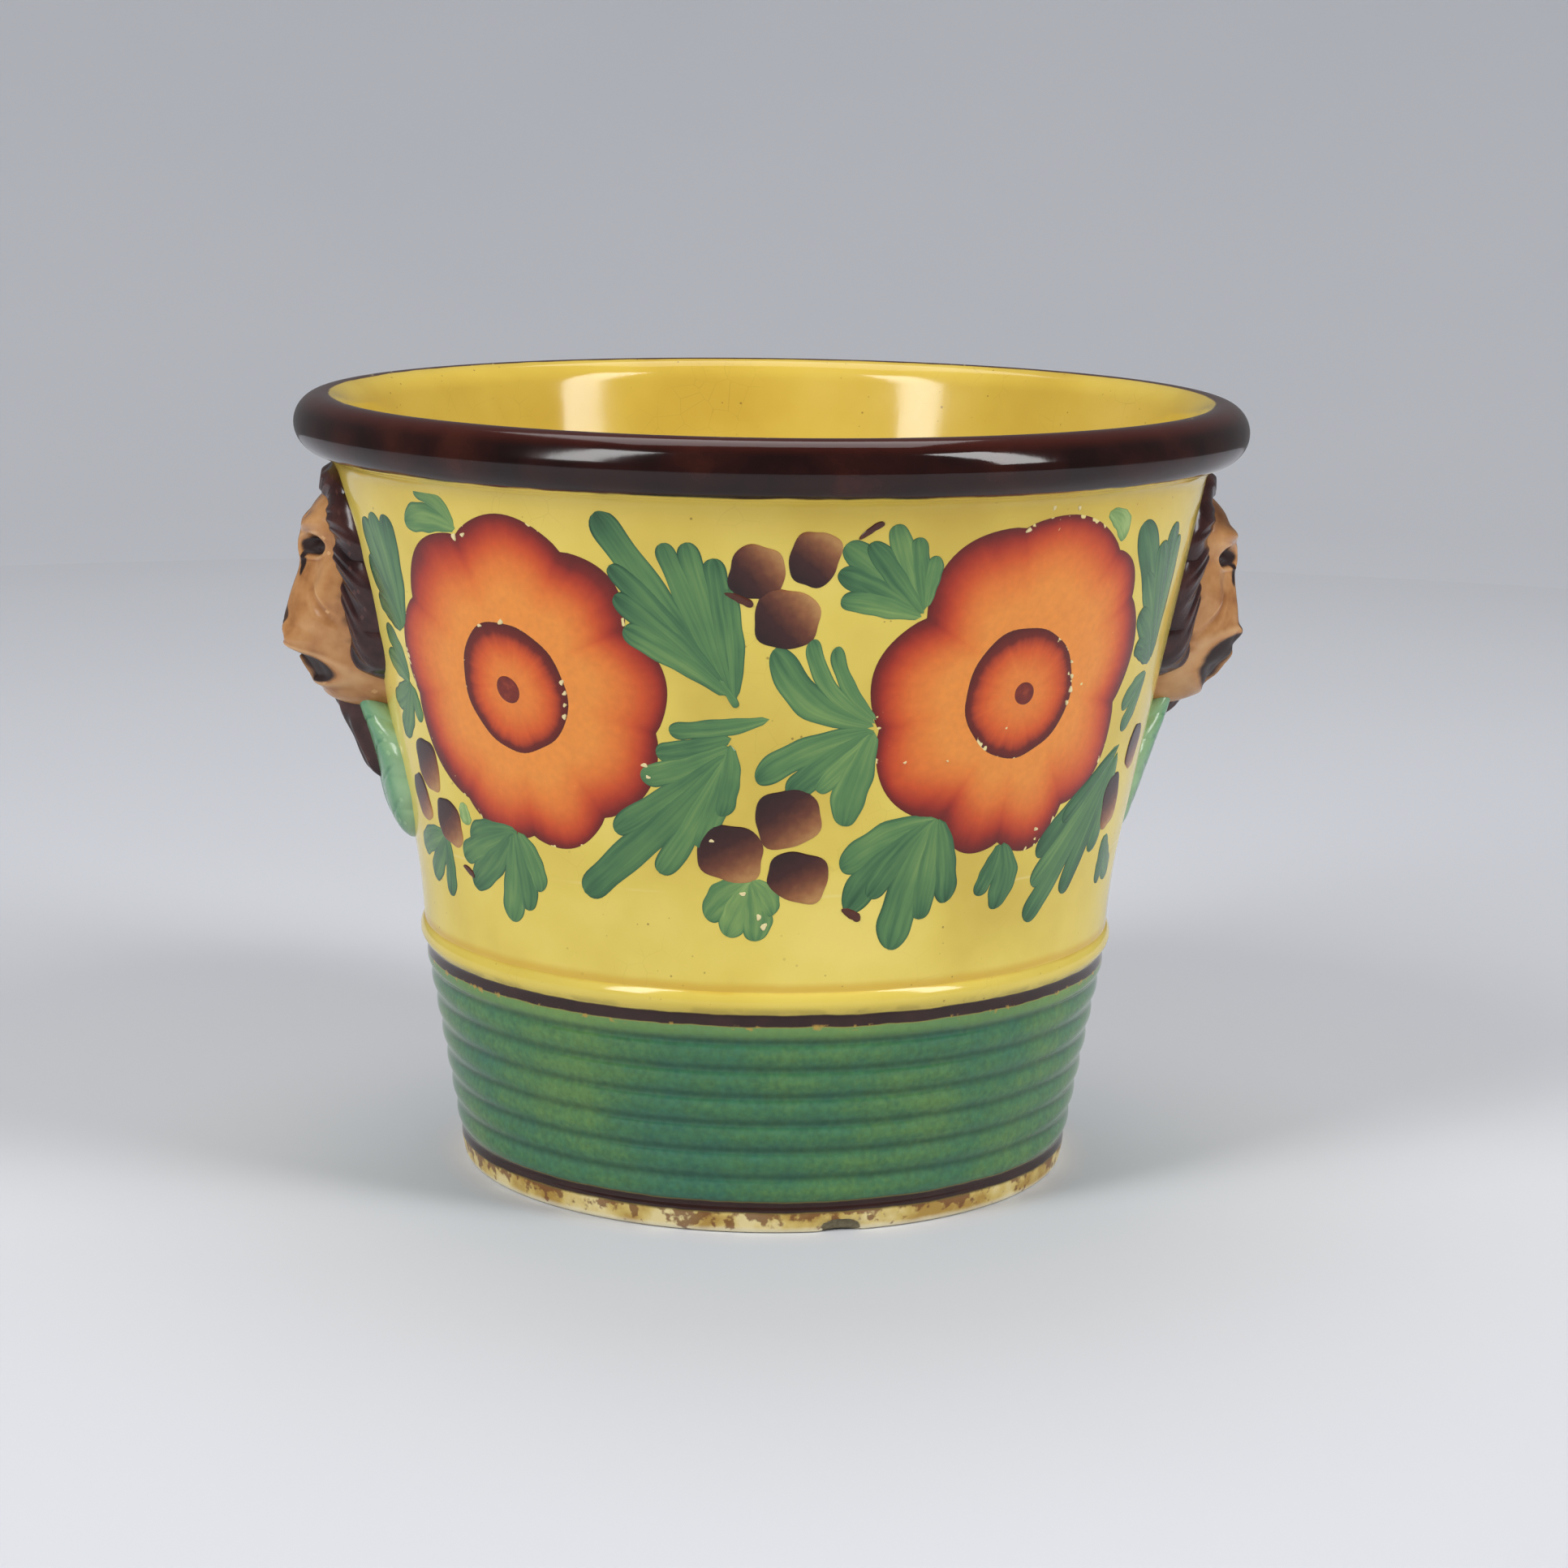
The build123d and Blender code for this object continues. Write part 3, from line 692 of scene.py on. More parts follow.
# The leaves: each is a fan of brush strokes, as (start, tip, width, bend); tone 0 is dark and cool, 1
# light and warm
leaves = (
    {"tone": 0.42, "strokes": (((-14.4, 103.4), (-36.8, 136.4), 5.6, 0.6),
                               ((-14.4, 103.6), (-25.8, 131.4), 3.8, 0.4),
                               ((-14.2, 103.8), (-21.8, 131.7), 4.0, 0.2),
                               ((-14.0, 103.8), (-17.4, 129.0), 4.4, 0.2),
                               ((-13.8, 103.4), (-15.2, 123.5), 3.8, -0.4),
                               ((-14.8, 104.0), (-35.0, 126.9), 4.2, -0.6),
                               ((-14.8, 104.0), (-34.4, 121.6), 4.6, -0.8),
                               ((-15.0, 104.2), (-33.2, 115.6), 4.8, -0.8),
                               ((-16.5, 107.0), (-13.5, 102.0), 1.5, 0.0))},
    {"tone": 0.5, "strokes": (((-7.8, 99.9), (-26.0, 97.2), 3.4, 0.6),
                              ((-14.6, 96.2), (-28.6, 92.7), 4.0, 0.4),
                              ((-14.6, 94.5), (-31.8, 87.9), 4.6, 0.6),
                              ((-15.0, 93.5), (-38.0, 77.4), 4.8, 0.6),
                              ((-15.0, 93.0), (-46.0, 64.8), 6.2, 1.2),
                              ((-15.0, 93.0), (-29.2, 70.0), 5.0, 0.8),
                              ((-14.8, 94.0), (-21.2, 75.4), 5.0, 0.8),
                              ((-14.8, 95.0), (-16.8, 81.5), 4.6, 0.6))},
    {"tone": 0.46, "strokes": (((11.0, 98.4), (-7.4, 112.6), 6.0, 3.4),
                               ((11.2, 99.0), (-1.0, 114.4), 3.2, 2.6),
                               ((11.4, 99.6), (3.4, 113.2), 2.8, 1.6))},
    {"tone": 0.44, "strokes": (((11.2, 97.6), (-10.2, 88.4), 5.2, -1.6),
                               ((11.0, 97.2), (-4.2, 85.4), 5.0, -0.6),
                              ((11.2, 97.2), (1.2, 86.4), 4.2, 0.2),
                              ((11.2, 97.4), (6.4, 79.8), 6.6, -0.6))},
    {"tone": 0.46, "strokes": (((18.4, 119.0), (4.2, 131.8), 5.0, -0.4),
                               ((18.0, 119.0), (3.2, 126.8), 4.6, -0.4),
                               ((18.0, 118.4), (3.8, 121.8), 4.4, -0.6),
                               ((18.2, 119.4), (12.2, 135.2), 4.0, 0.4),
                               ((18.4, 119.6), (16.2, 132.8), 3.6, 0.2),
                               ((18.6, 120.0), (19.6, 129.4), 3.2, 0.0),
                               ((18.2, 119.0), (8.2, 132.0), 4.2, 0.0))},
    {"tone": 0.4, "strokes": (((26.0, 80.0), (6.4, 71.8), 6.0, -1.6),
                              ((25.4, 80.0), (8.0, 63.4), 6.4, -1.6),
                              ((25.0, 80.2), (12.4, 66.0), 5.4, -0.8),
                              ((25.2, 80.2), (17.8, 55.6), 7.6, -0.8),
                              ((25.4, 80.2), (24.0, 61.0), 5.8, 0.0),
                              ((26.0, 80.2), (29.6, 63.8), 5.4, 0.6))},
    {"tone": 0.4, "strokes": (((41.2, 74.0), (37.2, 64.4), 4.2, 0.6),
                              ((42.2, 74.2), (42.4, 61.2), 6.6, 1.8))},
    {"tone": 0.34, "strokes": (((76.4, 88.6), (52.2, 70.4), 5.2, -0.5),
                               ((75.4, 87.0), (52.4, 64.6), 5.0, -0.3),
                               ((75.0, 86.0), (51.8, 57.8), 5.4, 0.4),
                               ((75.4, 86.0), (63.4, 61.4), 5.6, 0.6),
                               ((76.2, 87.0), (72.8, 68.0), 5.4, 0.8),
                               ((75.6, 88.0), (58.8, 76.2), 3.6, -0.4))},
    {"tone": 0.34, "strokes": (((83.4, 104.4), (65.6, 132.2), 6.8, -0.6),
                               ((83.0, 104.4), (71.2, 122.0), 6.2, -0.8),
                               ((83.0, 104.2), (71.8, 114.8), 5.8, -0.8),
                               ((83.0, 104.0), (73.2, 108.2), 5.2, -0.6),
                               ((83.6, 104.6), (79.6, 130.8), 5.6, 0.0),
                               ((83.6, 104.4), (75.0, 127.6), 6.6, -0.3),
                               ((83.8, 105.0), (83.2, 128.0), 5.0, 0.2))},
    {"tone": 0.42, "strokes": (((82.6, 101.6), (73.0, 96.2), 4.2, -0.6),
                               ((82.4, 101.2), (75.2, 91.4), 4.2, 0.4))},
    {"tone": 0.36, "strokes": (((80.2, 70.0), (88.6, 61.0), 6.0, -0.8),
                               ((80.0, 70.0), (81.6, 60.4), 4.6, 0.4))},
    {"tone": 0.72, "strokes": (((54.6, 135.2), (60.4, 129.8), 4.4, 1.2),)},
    {"tone": 0.36, "strokes": (((-88.2, 109.6), (-86.9, 131.2), 6.0, -0.6),
                               ((-88.4, 109.6), (-92.6, 131.0), 6.8, -0.4),
                               ((-88.6, 109.6), (-97.6, 129.4), 6.2, -0.4),
                               ((-88.8, 109.6), (-98.6, 122.0), 6.2, -0.6),
                               ((-88.8, 109.4), (-97.4, 114.8), 5.4, -0.6))},
    {"tone": 0.44, "strokes": (((-90.0, 99.4), (-96.4, 109.4), 4.8, -0.6),
                               ((-90.0, 99.2), (-98.8, 103.6), 4.4, -0.4),
                               ((-89.6, 99.0), (-100.2, 94.2), 4.6, 0.6),
                               ((-89.4, 98.8), (-98.8, 87.6), 5.0, 0.6),
                               ((-89.2, 98.6), (-88.6, 91.6), 3.8, 0.2))},
    {"tone": 0.56, "strokes": (((-65.6, 131.0), (-79.6, 130.8), 5.4, -1.4),
                               ((-65.8, 131.2), (-75.2, 137.0), 3.6, -1.8))},
    {"tone": 0.46, "strokes": (((-61.4, 74.6), (-76.6, 71.2), 5.0, -0.8),
                               ((-62.0, 74.4), (-80.4, 67.0), 4.6, -0.6),
                               ((-62.4, 74.2), (-78.2, 61.8), 5.8, 0.6),
                               ((-62.4, 74.2), (-66.2, 56.6), 6.4, 0.2),
                               ((-61.8, 74.4), (-61.0, 59.4), 5.4, 0.4),
                               ((-61.2, 74.6), (-57.0, 63.6), 5.2, 0.8))},
    {"tone": 0.42, "strokes": (((-86.0, 70.4), (-102.4, 65.4), 5.0, -0.4),
                               ((-86.4, 70.0), (-98.0, 60.2), 5.0, 0.2),
                               ((-86.6, 69.8), (-89.4, 57.8), 4.8, 0.4))},
    {"tone": 0.8, "strokes": (((-77.2, 78.0), (-77.4, 73.6), 4.0, 0.0),)},
    {"tone": 0.68, "strokes": (((-11.0, 69.4), (-20.2, 62.0), 6.0, -0.8),
                               ((-11.0, 69.2), (-16.0, 58.6), 6.2, -0.2),
                               ((-10.8, 69.2), (-10.0, 57.8), 6.4, 0.4),
                               ((-10.8, 69.4), (-6.6, 62.8), 5.4, 0.6))},
)

# copper green, streaked along each stroke by the brush and darker at the tip where it lifted
leafWash = {"stops": [(0.0, "#22472F"), (0.3, "#406A44"), (0.55, "#5B824E"), (0.8, "#7A9A58"),
                      (1.0, "#9AB36E")]}


def leafEnamel():
    material, put, links, shader, coords, fine, wide = enamel("copperGreenEnamel", 0.2)
    tone = put("ShaderNodeAttribute", {"attribute_name": "tone"}).outputs["Fac"]
    across = put("ShaderNodeSeparateXYZ", None, {0: coords.outputs["UV"]})
    sink = put("ShaderNodeCombineXYZ", None,
               {"Z": put("ShaderNodeMath", {"operation": "MULTIPLY"}, {0: tone, 1: 91.0}).outputs[0]})
    pull = put("ShaderNodeVectorMath", {"operation": "MULTIPLY_ADD"},
               {0: coords.outputs["UV"], 1: (1.4, 5.0, 0), 2: sink.outputs[0]}).outputs[0]
    hairs = put("ShaderNodeTexNoise", None, {"Vector": pull, "Scale": 1.0, "Detail": 3.5}).outputs["Fac"]
    streak = put("ShaderNodeMapRange", None, {0: hairs, 1: 0.25, 2: 0.75, 3: -0.2, 4: 0.2}).outputs[0]
    # the wet edge of a stroke dries darker
    offMiddle = put("ShaderNodeMath", {"operation": "PINGPONG"},
                    {0: across.outputs["Y"], 1: 0.5}).outputs[0]
    edge = put("ShaderNodeMapRange", {"interpolation_type": "SMOOTHSTEP"},
               {0: offMiddle, 1: 0.0, 2: 0.11, 3: -0.26, 4: 0.0}).outputs[0]
    tip = put("ShaderNodeMapRange", {"interpolation_type": "SMOOTHSTEP"},
              {0: across.outputs["X"], 1: 0.55, 2: 1.0, 3: 0.05, 4: -0.16}).outputs[0]
    pool = put("ShaderNodeMapRange", None, {0: wide, 1: 0.3, 2: 0.7, 3: -0.1, 4: 0.1}).outputs[0]
    share = tone
    for part in (streak, edge, tip, pool):
        share = put("ShaderNodeMath", {"operation": "ADD"}, {0: share, 1: part}).outputs[0]
    colour = put("ShaderNodeValToRGB", {"stops": leafWash["stops"]}, {0: share}).outputs[0]
    links.new(colour, shader.inputs["Base Color"])
    return material


leafSheets = []
for leaf in leaves:
    for number, (start, tip, width, bend) in enumerate(leaf["strokes"]):
        tone = leaf["tone"] + random.uniform(-0.09, 0.09)
        leafSheets.append(brushStroke(start, tip, width, bend, 0.06 + 0.014 * number, tone))

# The berries, as (middle, width, height, turn of the light side in degrees)
berries = (
    ((-10.2, 126.6), 9.0, 9.6, 40), ((-0.8, 129.2), 8.0, 9.8, 50), ((-5.2, 118.3), 10.8, 10.6, 40),
    ((-4.1, 81.2), 12.2, 10.8, -55), ((-15.0, 74.4), 12.6, 10.6, -65), ((-1.7, 70.1), 11.8, 9.4, -65),
    ((-89.2, 83.4), 9.4, 10.0, -60), ((-95.8, 76.0), 7.6, 9.0, -60), ((-84.2, 73.0), 9.6, 9.0, -60),
    ((78.4, 77.2), 8.4, 11.0, -60), ((86.2, 86.8), 7.6, 8.6, -60),
)
berryWash = {"stops": [(0.0, "#2A1413"), (0.34, "#3C1C18"), (0.58, "#643624"), (0.8, "#8E5A36"),
                       (1.0, "#B3834E")]}


def berrySheet(middle, width, height, turn, lift):
    outline = []
    for i in range(48):
        a = -2 * math.pi * i / 48
        corner = (abs(math.cos(a)) ** 3 + abs(math.sin(a)) ** 3) ** (-1 / 3)
        wave = corner * (1 + 0.03 * math.sin(3 * a + middle[0]) + 0.02 * math.sin(7 * a + middle[1]))
        along, up = width / 2 * wave * math.cos(a), height / 2 * wave * math.sin(a)
        tilt = 0.3 * math.sin(middle[0] * 1.3)    # each was pressed on at its own slant
        outline.append(Vector((middle[0] + along * math.cos(tilt) - up * math.sin(tilt),
                               middle[1] + along * math.sin(tilt) + up * math.cos(tilt))))
    sheet = filledShape(middle, outline, 10, lift)
    light = Vector((math.cos(math.radians(turn)), math.sin(math.radians(turn))))
    shades = []
    for v in sheet.data.vertices:
        turnAbout = math.atan2(v.co.x, -v.co.y)
        place = Vector((turnAbout * drawingRadius - middle[0], v.co.z / mm - middle[1]))
        shades.append(0.5 + place.dot(light) / (width + height) * 2)
    setPoints(sheet, shades, "shade")
    return sheet


def berryEnamel():
    material, put, links, shader, coords, fine, wide = enamel("manganeseBrownEnamel", 0.22)
    shade = put("ShaderNodeAttribute", {"attribute_name": "shade"}).outputs["Fac"]
    place = put("ShaderNodeVectorMath", {"operation": "MULTIPLY"},
                {0: coords.outputs["Object"], 1: (700, 700, 700)}).outputs[0]
    hairs = put("ShaderNodeTexNoise", None, {"Vector": place, "Scale": 1.0, "Detail": 3.0}).outputs["Fac"]
    streak = put("ShaderNodeMapRange", None, {0: hairs, 1: 0.25, 2: 0.75, 3: -0.05, 4: 0.05}).outputs[0]
    share = put("ShaderNodeMath", {"operation": "ADD"}, {0: shade, 1: streak}).outputs[0]
    colour = put("ShaderNodeValToRGB", {"stops": berryWash["stops"]}, {0: share}).outputs[0]
    links.new(colour, shader.inputs["Base Color"])
    return material


berrySheets = [berrySheet(*berry, 0.16 + 0.012 * (i % 3)) for i, berry in enumerate(berries)]
# brown slips of the brush, as (start, tip, width)
slips = (((-15.6, 122.8), (-10.8, 120.6), 1.5), ((6.2, 132.6), (10.2, 135.6), 1.2),
         ((7.2, 63.8), (11.2, 61.6), 1.8), ((-81.4, 65.0), (-77.6, 63.4), 1.6))
for start, tip, width in slips:
    slip = brushStroke(start, tip, width, 0.2, 0.2, 0.0)
    setPoints(slip, [0.45] * len(slip.data.vertices), "shade")
    berrySheets.append(slip)
# flakes where the paint has chipped down to the pale glaze, as (along, up, size)
flakes = ((-46.2, 104.6, 0.9), (-45.8, 102.6, 0.8), (-46.0, 100.4, 0.7), (-46.4, 98.2, 0.9),
          (-58.0, 114.6, 1.0), (-63.2, 113.4, 0.7), (-66.2, 129.4, 1.1), (-64.0, 130.0, 0.8),
          (-31.0, 90.4, 0.9), (-30.4, 88.2, 0.7), (52.6, 104.8, 0.8), (53.0, 102.2, 1.0),
          (52.6, 99.8, 0.8), (51.8, 107.6, 0.6), (36.4, 133.2, 0.9), (41.0, 137.0, 0.8),
          (46.6, 136.6, 0.7), (50.6, 75.8, 0.8), (17.6, 91.4, 0.5), (26.2, 91.2, 0.4), (-12.6, 66.8, 0.9),
          (-9.4, 62.4, 1.0), (-8.4, 60.6, 1.2), (-18.6, 76.8, 0.8))
flakeSheets = []
for along, up, size in flakes:
    ragged = ((2, 0.22, along), (3, 0.16, up), (5, 0.08, along + up))
    flakeEdge = roundOutline((along, up), (0.6 * size, 0.52 * size), ragged, 14)
    flakeSheets.append(filledShape((along, up), flakeEdge, 3, 0.24))


# bare glaze in the chips: paler than the wall and a little rough
def flakeGlaze():
    material, put, links, shader, coords, fine, wide = enamel("chippedPaleGlaze", 0.42)
    colour = put("ShaderNodeMix", {"data_type": "RGBA"}, {0: fine, 6: "#D8C27C", 7: "#EEE0B4"}).outputs[2]
    links.new(colour, shader.inputs["Base Color"])
    return material


paintings = (("petals", petalSheets, petalEnamel, "orange_enamel"),
             ("hearts", heartSheets, heartEnamel, "orange_enamel"),
             ("spots", dotSheets, spotEnamel, "brown_glaze"),
             ("leaves", leafSheets, leafEnamel(), "green_glaze"),
             ("berries", berrySheets, berryEnamel(), "brown_glaze"),
             ("flakes", flakeSheets, flakeGlaze(), "yellow_glaze"))
for name, sheets, material, slot in paintings:
    front = paintPiece(sheets, "front_" + name)
    back = turnedCopy(front, "back_" + name)
    finishPiece(front, material, slot)
    finishPiece(back, material, slot)
print("flowers, leaves and berries painted, front and back")


# The lion masks: reliefs pressed on the wall of the +X side. Places are (across, fall), in millimetres,
# across from the middle of the mask and fall from the top of the forehead.
maskTop = 133.0


# a closed sheet of clay: its front follows the relief, its back lies in the wall
def reliefPiece(name, columns, rows, fallFrom, fallTo, halfWidth, relief, paint, seat=2.2, lean=None):
    sheet = gridSheet(columns, rows)
    fronts = []
    backs = []
    paints = []
    for v in sheet.data.vertices:
        fall = fallFrom + (fallTo - fallFrom) * (1 - v.co.y) / 2
        half = halfWidth(fall, v.co.x)
        across = math.sin(v.co.x * math.pi / 2) * half
        z = maskTop - fall
        wall = math.sqrt(wallRadius(z) ** 2 - across**2)
        rise = relief(across, fall, half)
        slant = lean(fall) if lean else 0.0    # how far the clay droops, per millimetre nearer the wall
        fronts.append(Vector((wall + rise, across, z - slant * max(6 - rise, 0))) * mm)
        backs.append(Vector((wall - seat, across * 0.96, z - slant * (6 + seat))) * mm)
        paints.append(paint(across, fall, half))
    for v, place in zip(sheet.data.vertices, fronts):
        v.co = place
    setPoints(sheet, paints, "paint")
    sheet.data.update()
    if sheet.data.polygons[len(sheet.data.polygons) // 2].normal.x < 0:
        sheet.data.flip_normals()
    applyModifier(sheet, "back", "SOLIDIFY", thickness=0.1 * mm, offset=-1.0)
    for i, place in enumerate(backs):
        sheet.data.vertices[len(backs) + i].co = place
    pick(sheet)
    bpy.ops.object.shade_smooth_by_angle(angle=math.radians(60))
    sheet.name = name
    sheet.data.name = name
    return sheet


# how far a point lies from a soft place: 0 in its middle and 1 at its rim
def spread(across, fall, place):
    a, f = across - place[0], fall - place[1]
    turn = math.radians(place[4])
    u = (a * math.cos(turn) + f * math.sin(turn)) / place[2]
    w = (f * math.cos(turn) - a * math.sin(turn)) / place[3]
    return math.hypot(u, w)


def mound(across, fall, place):
    return max(1 - spread(across, fall, place) ** 2, 0) ** 2


# curves are (fall, value); a form is its height, then (across, fall, half width, half height, turn in
# degrees)
lionFace = {
    "length": 43.4, "columns": 130, "rows": 210,
    "halfWidth": ((0, 1.2), (0.6, 4.0), (1.6, 6.6), (3, 8.6), (5, 10.2), (9, 11.4), (14, 11.9), (20, 12.2),
                  (26, 12.2), (30, 11.8), (33, 11.5), (35, 11.2), (37, 10.5), (39, 9.2), (41, 7.4),
                  (42.6, 5.0), (43.4, 2.8)),
    "middle": ((0, 1.2), (3, 4.8), (5, 6.6), (8, 8.8), (10.3, 10.0), (12, 10.6), (15, 10.8), (17, 11.6),
               (19, 12.7), (21, 13.8), (24, 15.2), (27, 16.2), (29.5, 16.6), (31.5, 16.4), (34, 15.2),
               (37, 13.9), (39, 12.2), (41, 10.2), (42.4, 8.0), (43.4, 4.6)),
    "cheek": ((0, 1.0), (2, 3.6), (5, 6.8), (8, 7.8), (11, 7.0), (14, 7.6), (18, 9.2), (22, 11.0),
              (26, 12.0), (30, 12.4), (34, 11.8), (37, 10.9), (40, 9.4), (42, 7.4), (43.4, 4.0)),
    "ridge": ((0, 6.0), (6, 5.6), (10, 2.8), (14, 3.4), (18, 4.8), (22, 6.2), (26, 7.2), (30, 7.6),
              (34, 7.0), (38, 6.4), (43, 5.0)),
    "forms": ((0.8, (4.8, 7.0, 5.8, 2.2, -12)), (-2.4, (4.3, 11.5, 4.8, 2.8, -8)),
              (2.0, (4.2, 11.6, 3.0, 1.7, -8)), (0.5, (4.4, 9.4, 4.4, 0.9, -12)),
              (0.4, (4.3, 13.7, 3.8, 0.8, -6)), (0.3, (0.0, 27.0, 3.8, 3.6, 0)),
              (0.7, (3.2, 27.4, 2.2, 2.0, 20)), (-1.0, (2.0, 29.2, 1.2, 0.7, 25)),
              (1.3, (5.2, 30.0, 4.4, 3.2, 14)), (-0.7, (8.8, 23.0, 6.4, 1.2, 58)),
              (-0.35, (1.1, 6.6, 0.6, 2.2, -10)), (0.6, (9.4, 19.0, 3.2, 5.6, 10)),
              (0.8, (0.0, 41.2, 4.6, 2.0, 0))),
    "eye": (4.3, 11.5, 3.5, 1.9, -10), "tear": (2.3, 15.0, 0.75, 2.8, -10),
    # half width of the dark nose: a pad that narrows to the line above the lip
    "nose": ((22.6, 0.3), (23.8, 2.2), (25.2, 3.2), (27, 2.7), (29, 1.2), (30.2, 0.5), (32.4, 0.4)),
    # the right mask was pressed on with its brow lower, and its mouth is larger; the tongue lies in the
    # middle
    "right": {"drop": 2.4, "lift": 2.0, "stain": 0.62,
              "mouth": {"fall": 35.2, "droop": -0.2, "half": (9.6, 5.9), "depth": 2.0}},
    "left": {"drop": 0.0, "lift": 0.0, "stain": 0.0,
             "mouth": {"fall": 34.2, "droop": 0.12, "half": (8.6, 3.7), "depth": 1.7}},
}


def faceHalfWidth(fall, share):
    return softCurve(lionFace["halfWidth"], fall)


# where a point lies on the mould, whose brow and nose sit lower by the drop
def mouldFall(side, fall):
    return fall - lionFace[side]["drop"] * easeStep(0, 8, fall) * easeStep(40, 33, fall)


# how far a point lies from the middle of the open mouth, 1 at its lip, and how much it is on the tongue
def mouthPlace(side, out, fall):
    mouth = lionFace[side]["mouth"]
    u = abs(out) / mouth["half"][0]
    w = abs(fall - mouth["fall"] - mouth["droop"] * out) / mouth["half"][1]
    tongue = spread(out, fall, (0.0, mouth["fall"] + 2.2, 2.4, mouth["half"][1], 0))
    return (u**2.3 + w**2.3) ** (1 / 2.3), easeStep(1.0, 0.7, tongue)


def faceReliefFor(side):
    def faceRelief(across, fall, half):
        out, down = abs(across), mouldFall(side, fall)
        lift = lionFace[side]["lift"] * easeStep(0, 6, fall) * easeStep(28, 15, fall)
        cheek = softCurve(lionFace["cheek"], down) + lift
        middle = softCurve(lionFace["middle"], down) + lift
        edge = min(out / half, 1.0)
        rise = cheek * max(1 - edge**3.2, 0) ** 0.5 - 0.8 * edge**8
        rise += (middle - cheek) * math.exp(-((out / softCurve(lionFace["ridge"], down)) ** 3))
        for height, place in lionFace["forms"]:
            rise += height * mound(out, down, place)
        mouth, tongue = mouthPlace(side, out, fall)
        rise -= lionFace[side]["mouth"]["depth"] * easeStep(1.0, 0.6, mouth) * (1 - 0.75 * tongue)
        rise += 0.45 * math.exp(-(((mouth - 1.1) / 0.12) ** 2))    # lips
        return rise + 0.1 * noise.noise(Vector((across * 0.35, fall * 0.35, 3.1)))
    return faceRelief


# above 0 where the brush left dark brown: eyes, tear lines, nose, open mouth, the edge by the mane and
# the stained brow of the right mask;
# below 0 on the lips: a pale line of painted highlight along their edge
def facePaintFor(side):
    def facePaint(across, fall, half):
        out = abs(across) + 0.3 * noise.noise(Vector((across * 0.7, fall * 0.7, 0.5)))
        down = mouldFall(side, fall)
        eye = easeStep(1.05, 0.9, spread(out, down, lionFace["eye"]))
        tear = easeStep(1.05, 0.8, spread(out, down, lionFace["tear"]))
        nose = easeStep(0.3, -0.2,
                        abs(across) - softCurve(lionFace["nose"], down)) if 22.4 < down < 32.4 else 0.0
        mouth, tongue = mouthPlace(side, out, fall)
        run = easeStep(0.92, 1.0,
                       abs(across) / half + 0.08 * noise.noise(Vector((across * 0.5, fall * 0.5, 7.0))))
        run = max(run * 0.8 * easeStep(33, 29, fall),
                  lionFace[side]["stain"] * easeStep(1.15, 0.6,
                                                     spread(out, fall, (2.0, 5.4, 9.0, 4.6, 0))))
        dark = max(eye, tear, nose * 0.9, run, easeStep(1.04, 0.94, mouth) * (1 - 0.7 * tongue))
        # a thin pale line of painted highlight along the lips
        pale = math.exp(-(((mouth - 1.14) / 0.08) ** 2)) * easeStep(0.3, 0.0, dark)
        return dark - 0.4 * pale
    return facePaint


lionMane = {
    "from": -4.4, "to": 37.6, "columns": 160, "rows": 150, "middle": 16.0, "locks": 6.0, "lockDepth": 1.3,
    "strandDepth": 0.14, "relief": ((-4.4, 1.8), (-2, 2.6), (2, 3.6), (10, 4.4), (24, 5.0), (31, 5.8),
                                    (35, 5.2), (37.6, 3.0)),
    "halfWidth": ((-4.4, 1.6), (-4.1, 4.8), (-3.4, 7.8), (-2.2, 10.4), (-0.4, 12.8), (2, 14.8), (5, 16.4),
                  (9, 17.8), (14, 18.5), (20, 18.7), (27, 18.5), (31, 17.4), (34, 15.2), (36, 12.0),
                  (37.6, 7.0)),
}


# which lock a point is in, and how far across it: the locks lie round the face and sweep down as they
# leave it
def maneLock(across, fall):
    a, f = abs(across), 0.85 * (fall - lionMane["middle"])
    turn = math.atan2(a, -f)
    swept = turn - 0.05 * (math.hypot(a, f) - 11) * math.sin(turn)
    count = max(swept, 0) / math.pi * lionMane["locks"]
    return count, 2 * (count % 1) - 1


def maneHalfWidth(fall, share):
    half = softCurve(lionMane["halfWidth"], fall)
    count, offset = maneLock(half, fall)
    return half + (0.9 * (1 - offset * offset) - 0.5) * easeStep(0.4, 1.0, abs(share))


def maneRelief(across, fall, half):
    count, offset = maneLock(across, fall)
    lock = 1 - abs(offset) ** 1.7
    strand = math.cos(math.pi * 4 * offset)
    edge = min(abs(across) / half, 1.0)
    ends = easeStep(-4.4, -2.0, fall) * easeStep(37.6, 34.0, fall)
    rise = softCurve(lionMane["relief"],
                     fall) + lionMane["lockDepth"] * (lock - 0.5) + lionMane["strandDepth"] * strand
    behind = easeStep(1.0, 0.75, abs(across) / softCurve(lionFace["halfWidth"], fall)) * easeStep(0.5, 3.0,
                                                                                                  fall)
    rise *= 1 - 0.7 * behind    # sunk where the face covers it
    return rise * max(1 - edge**4, 0) ** 0.5 * (0.25 + 0.75 * ends) - 0.5 * edge**10


def noPaint(across, fall, half):
    return 0.0


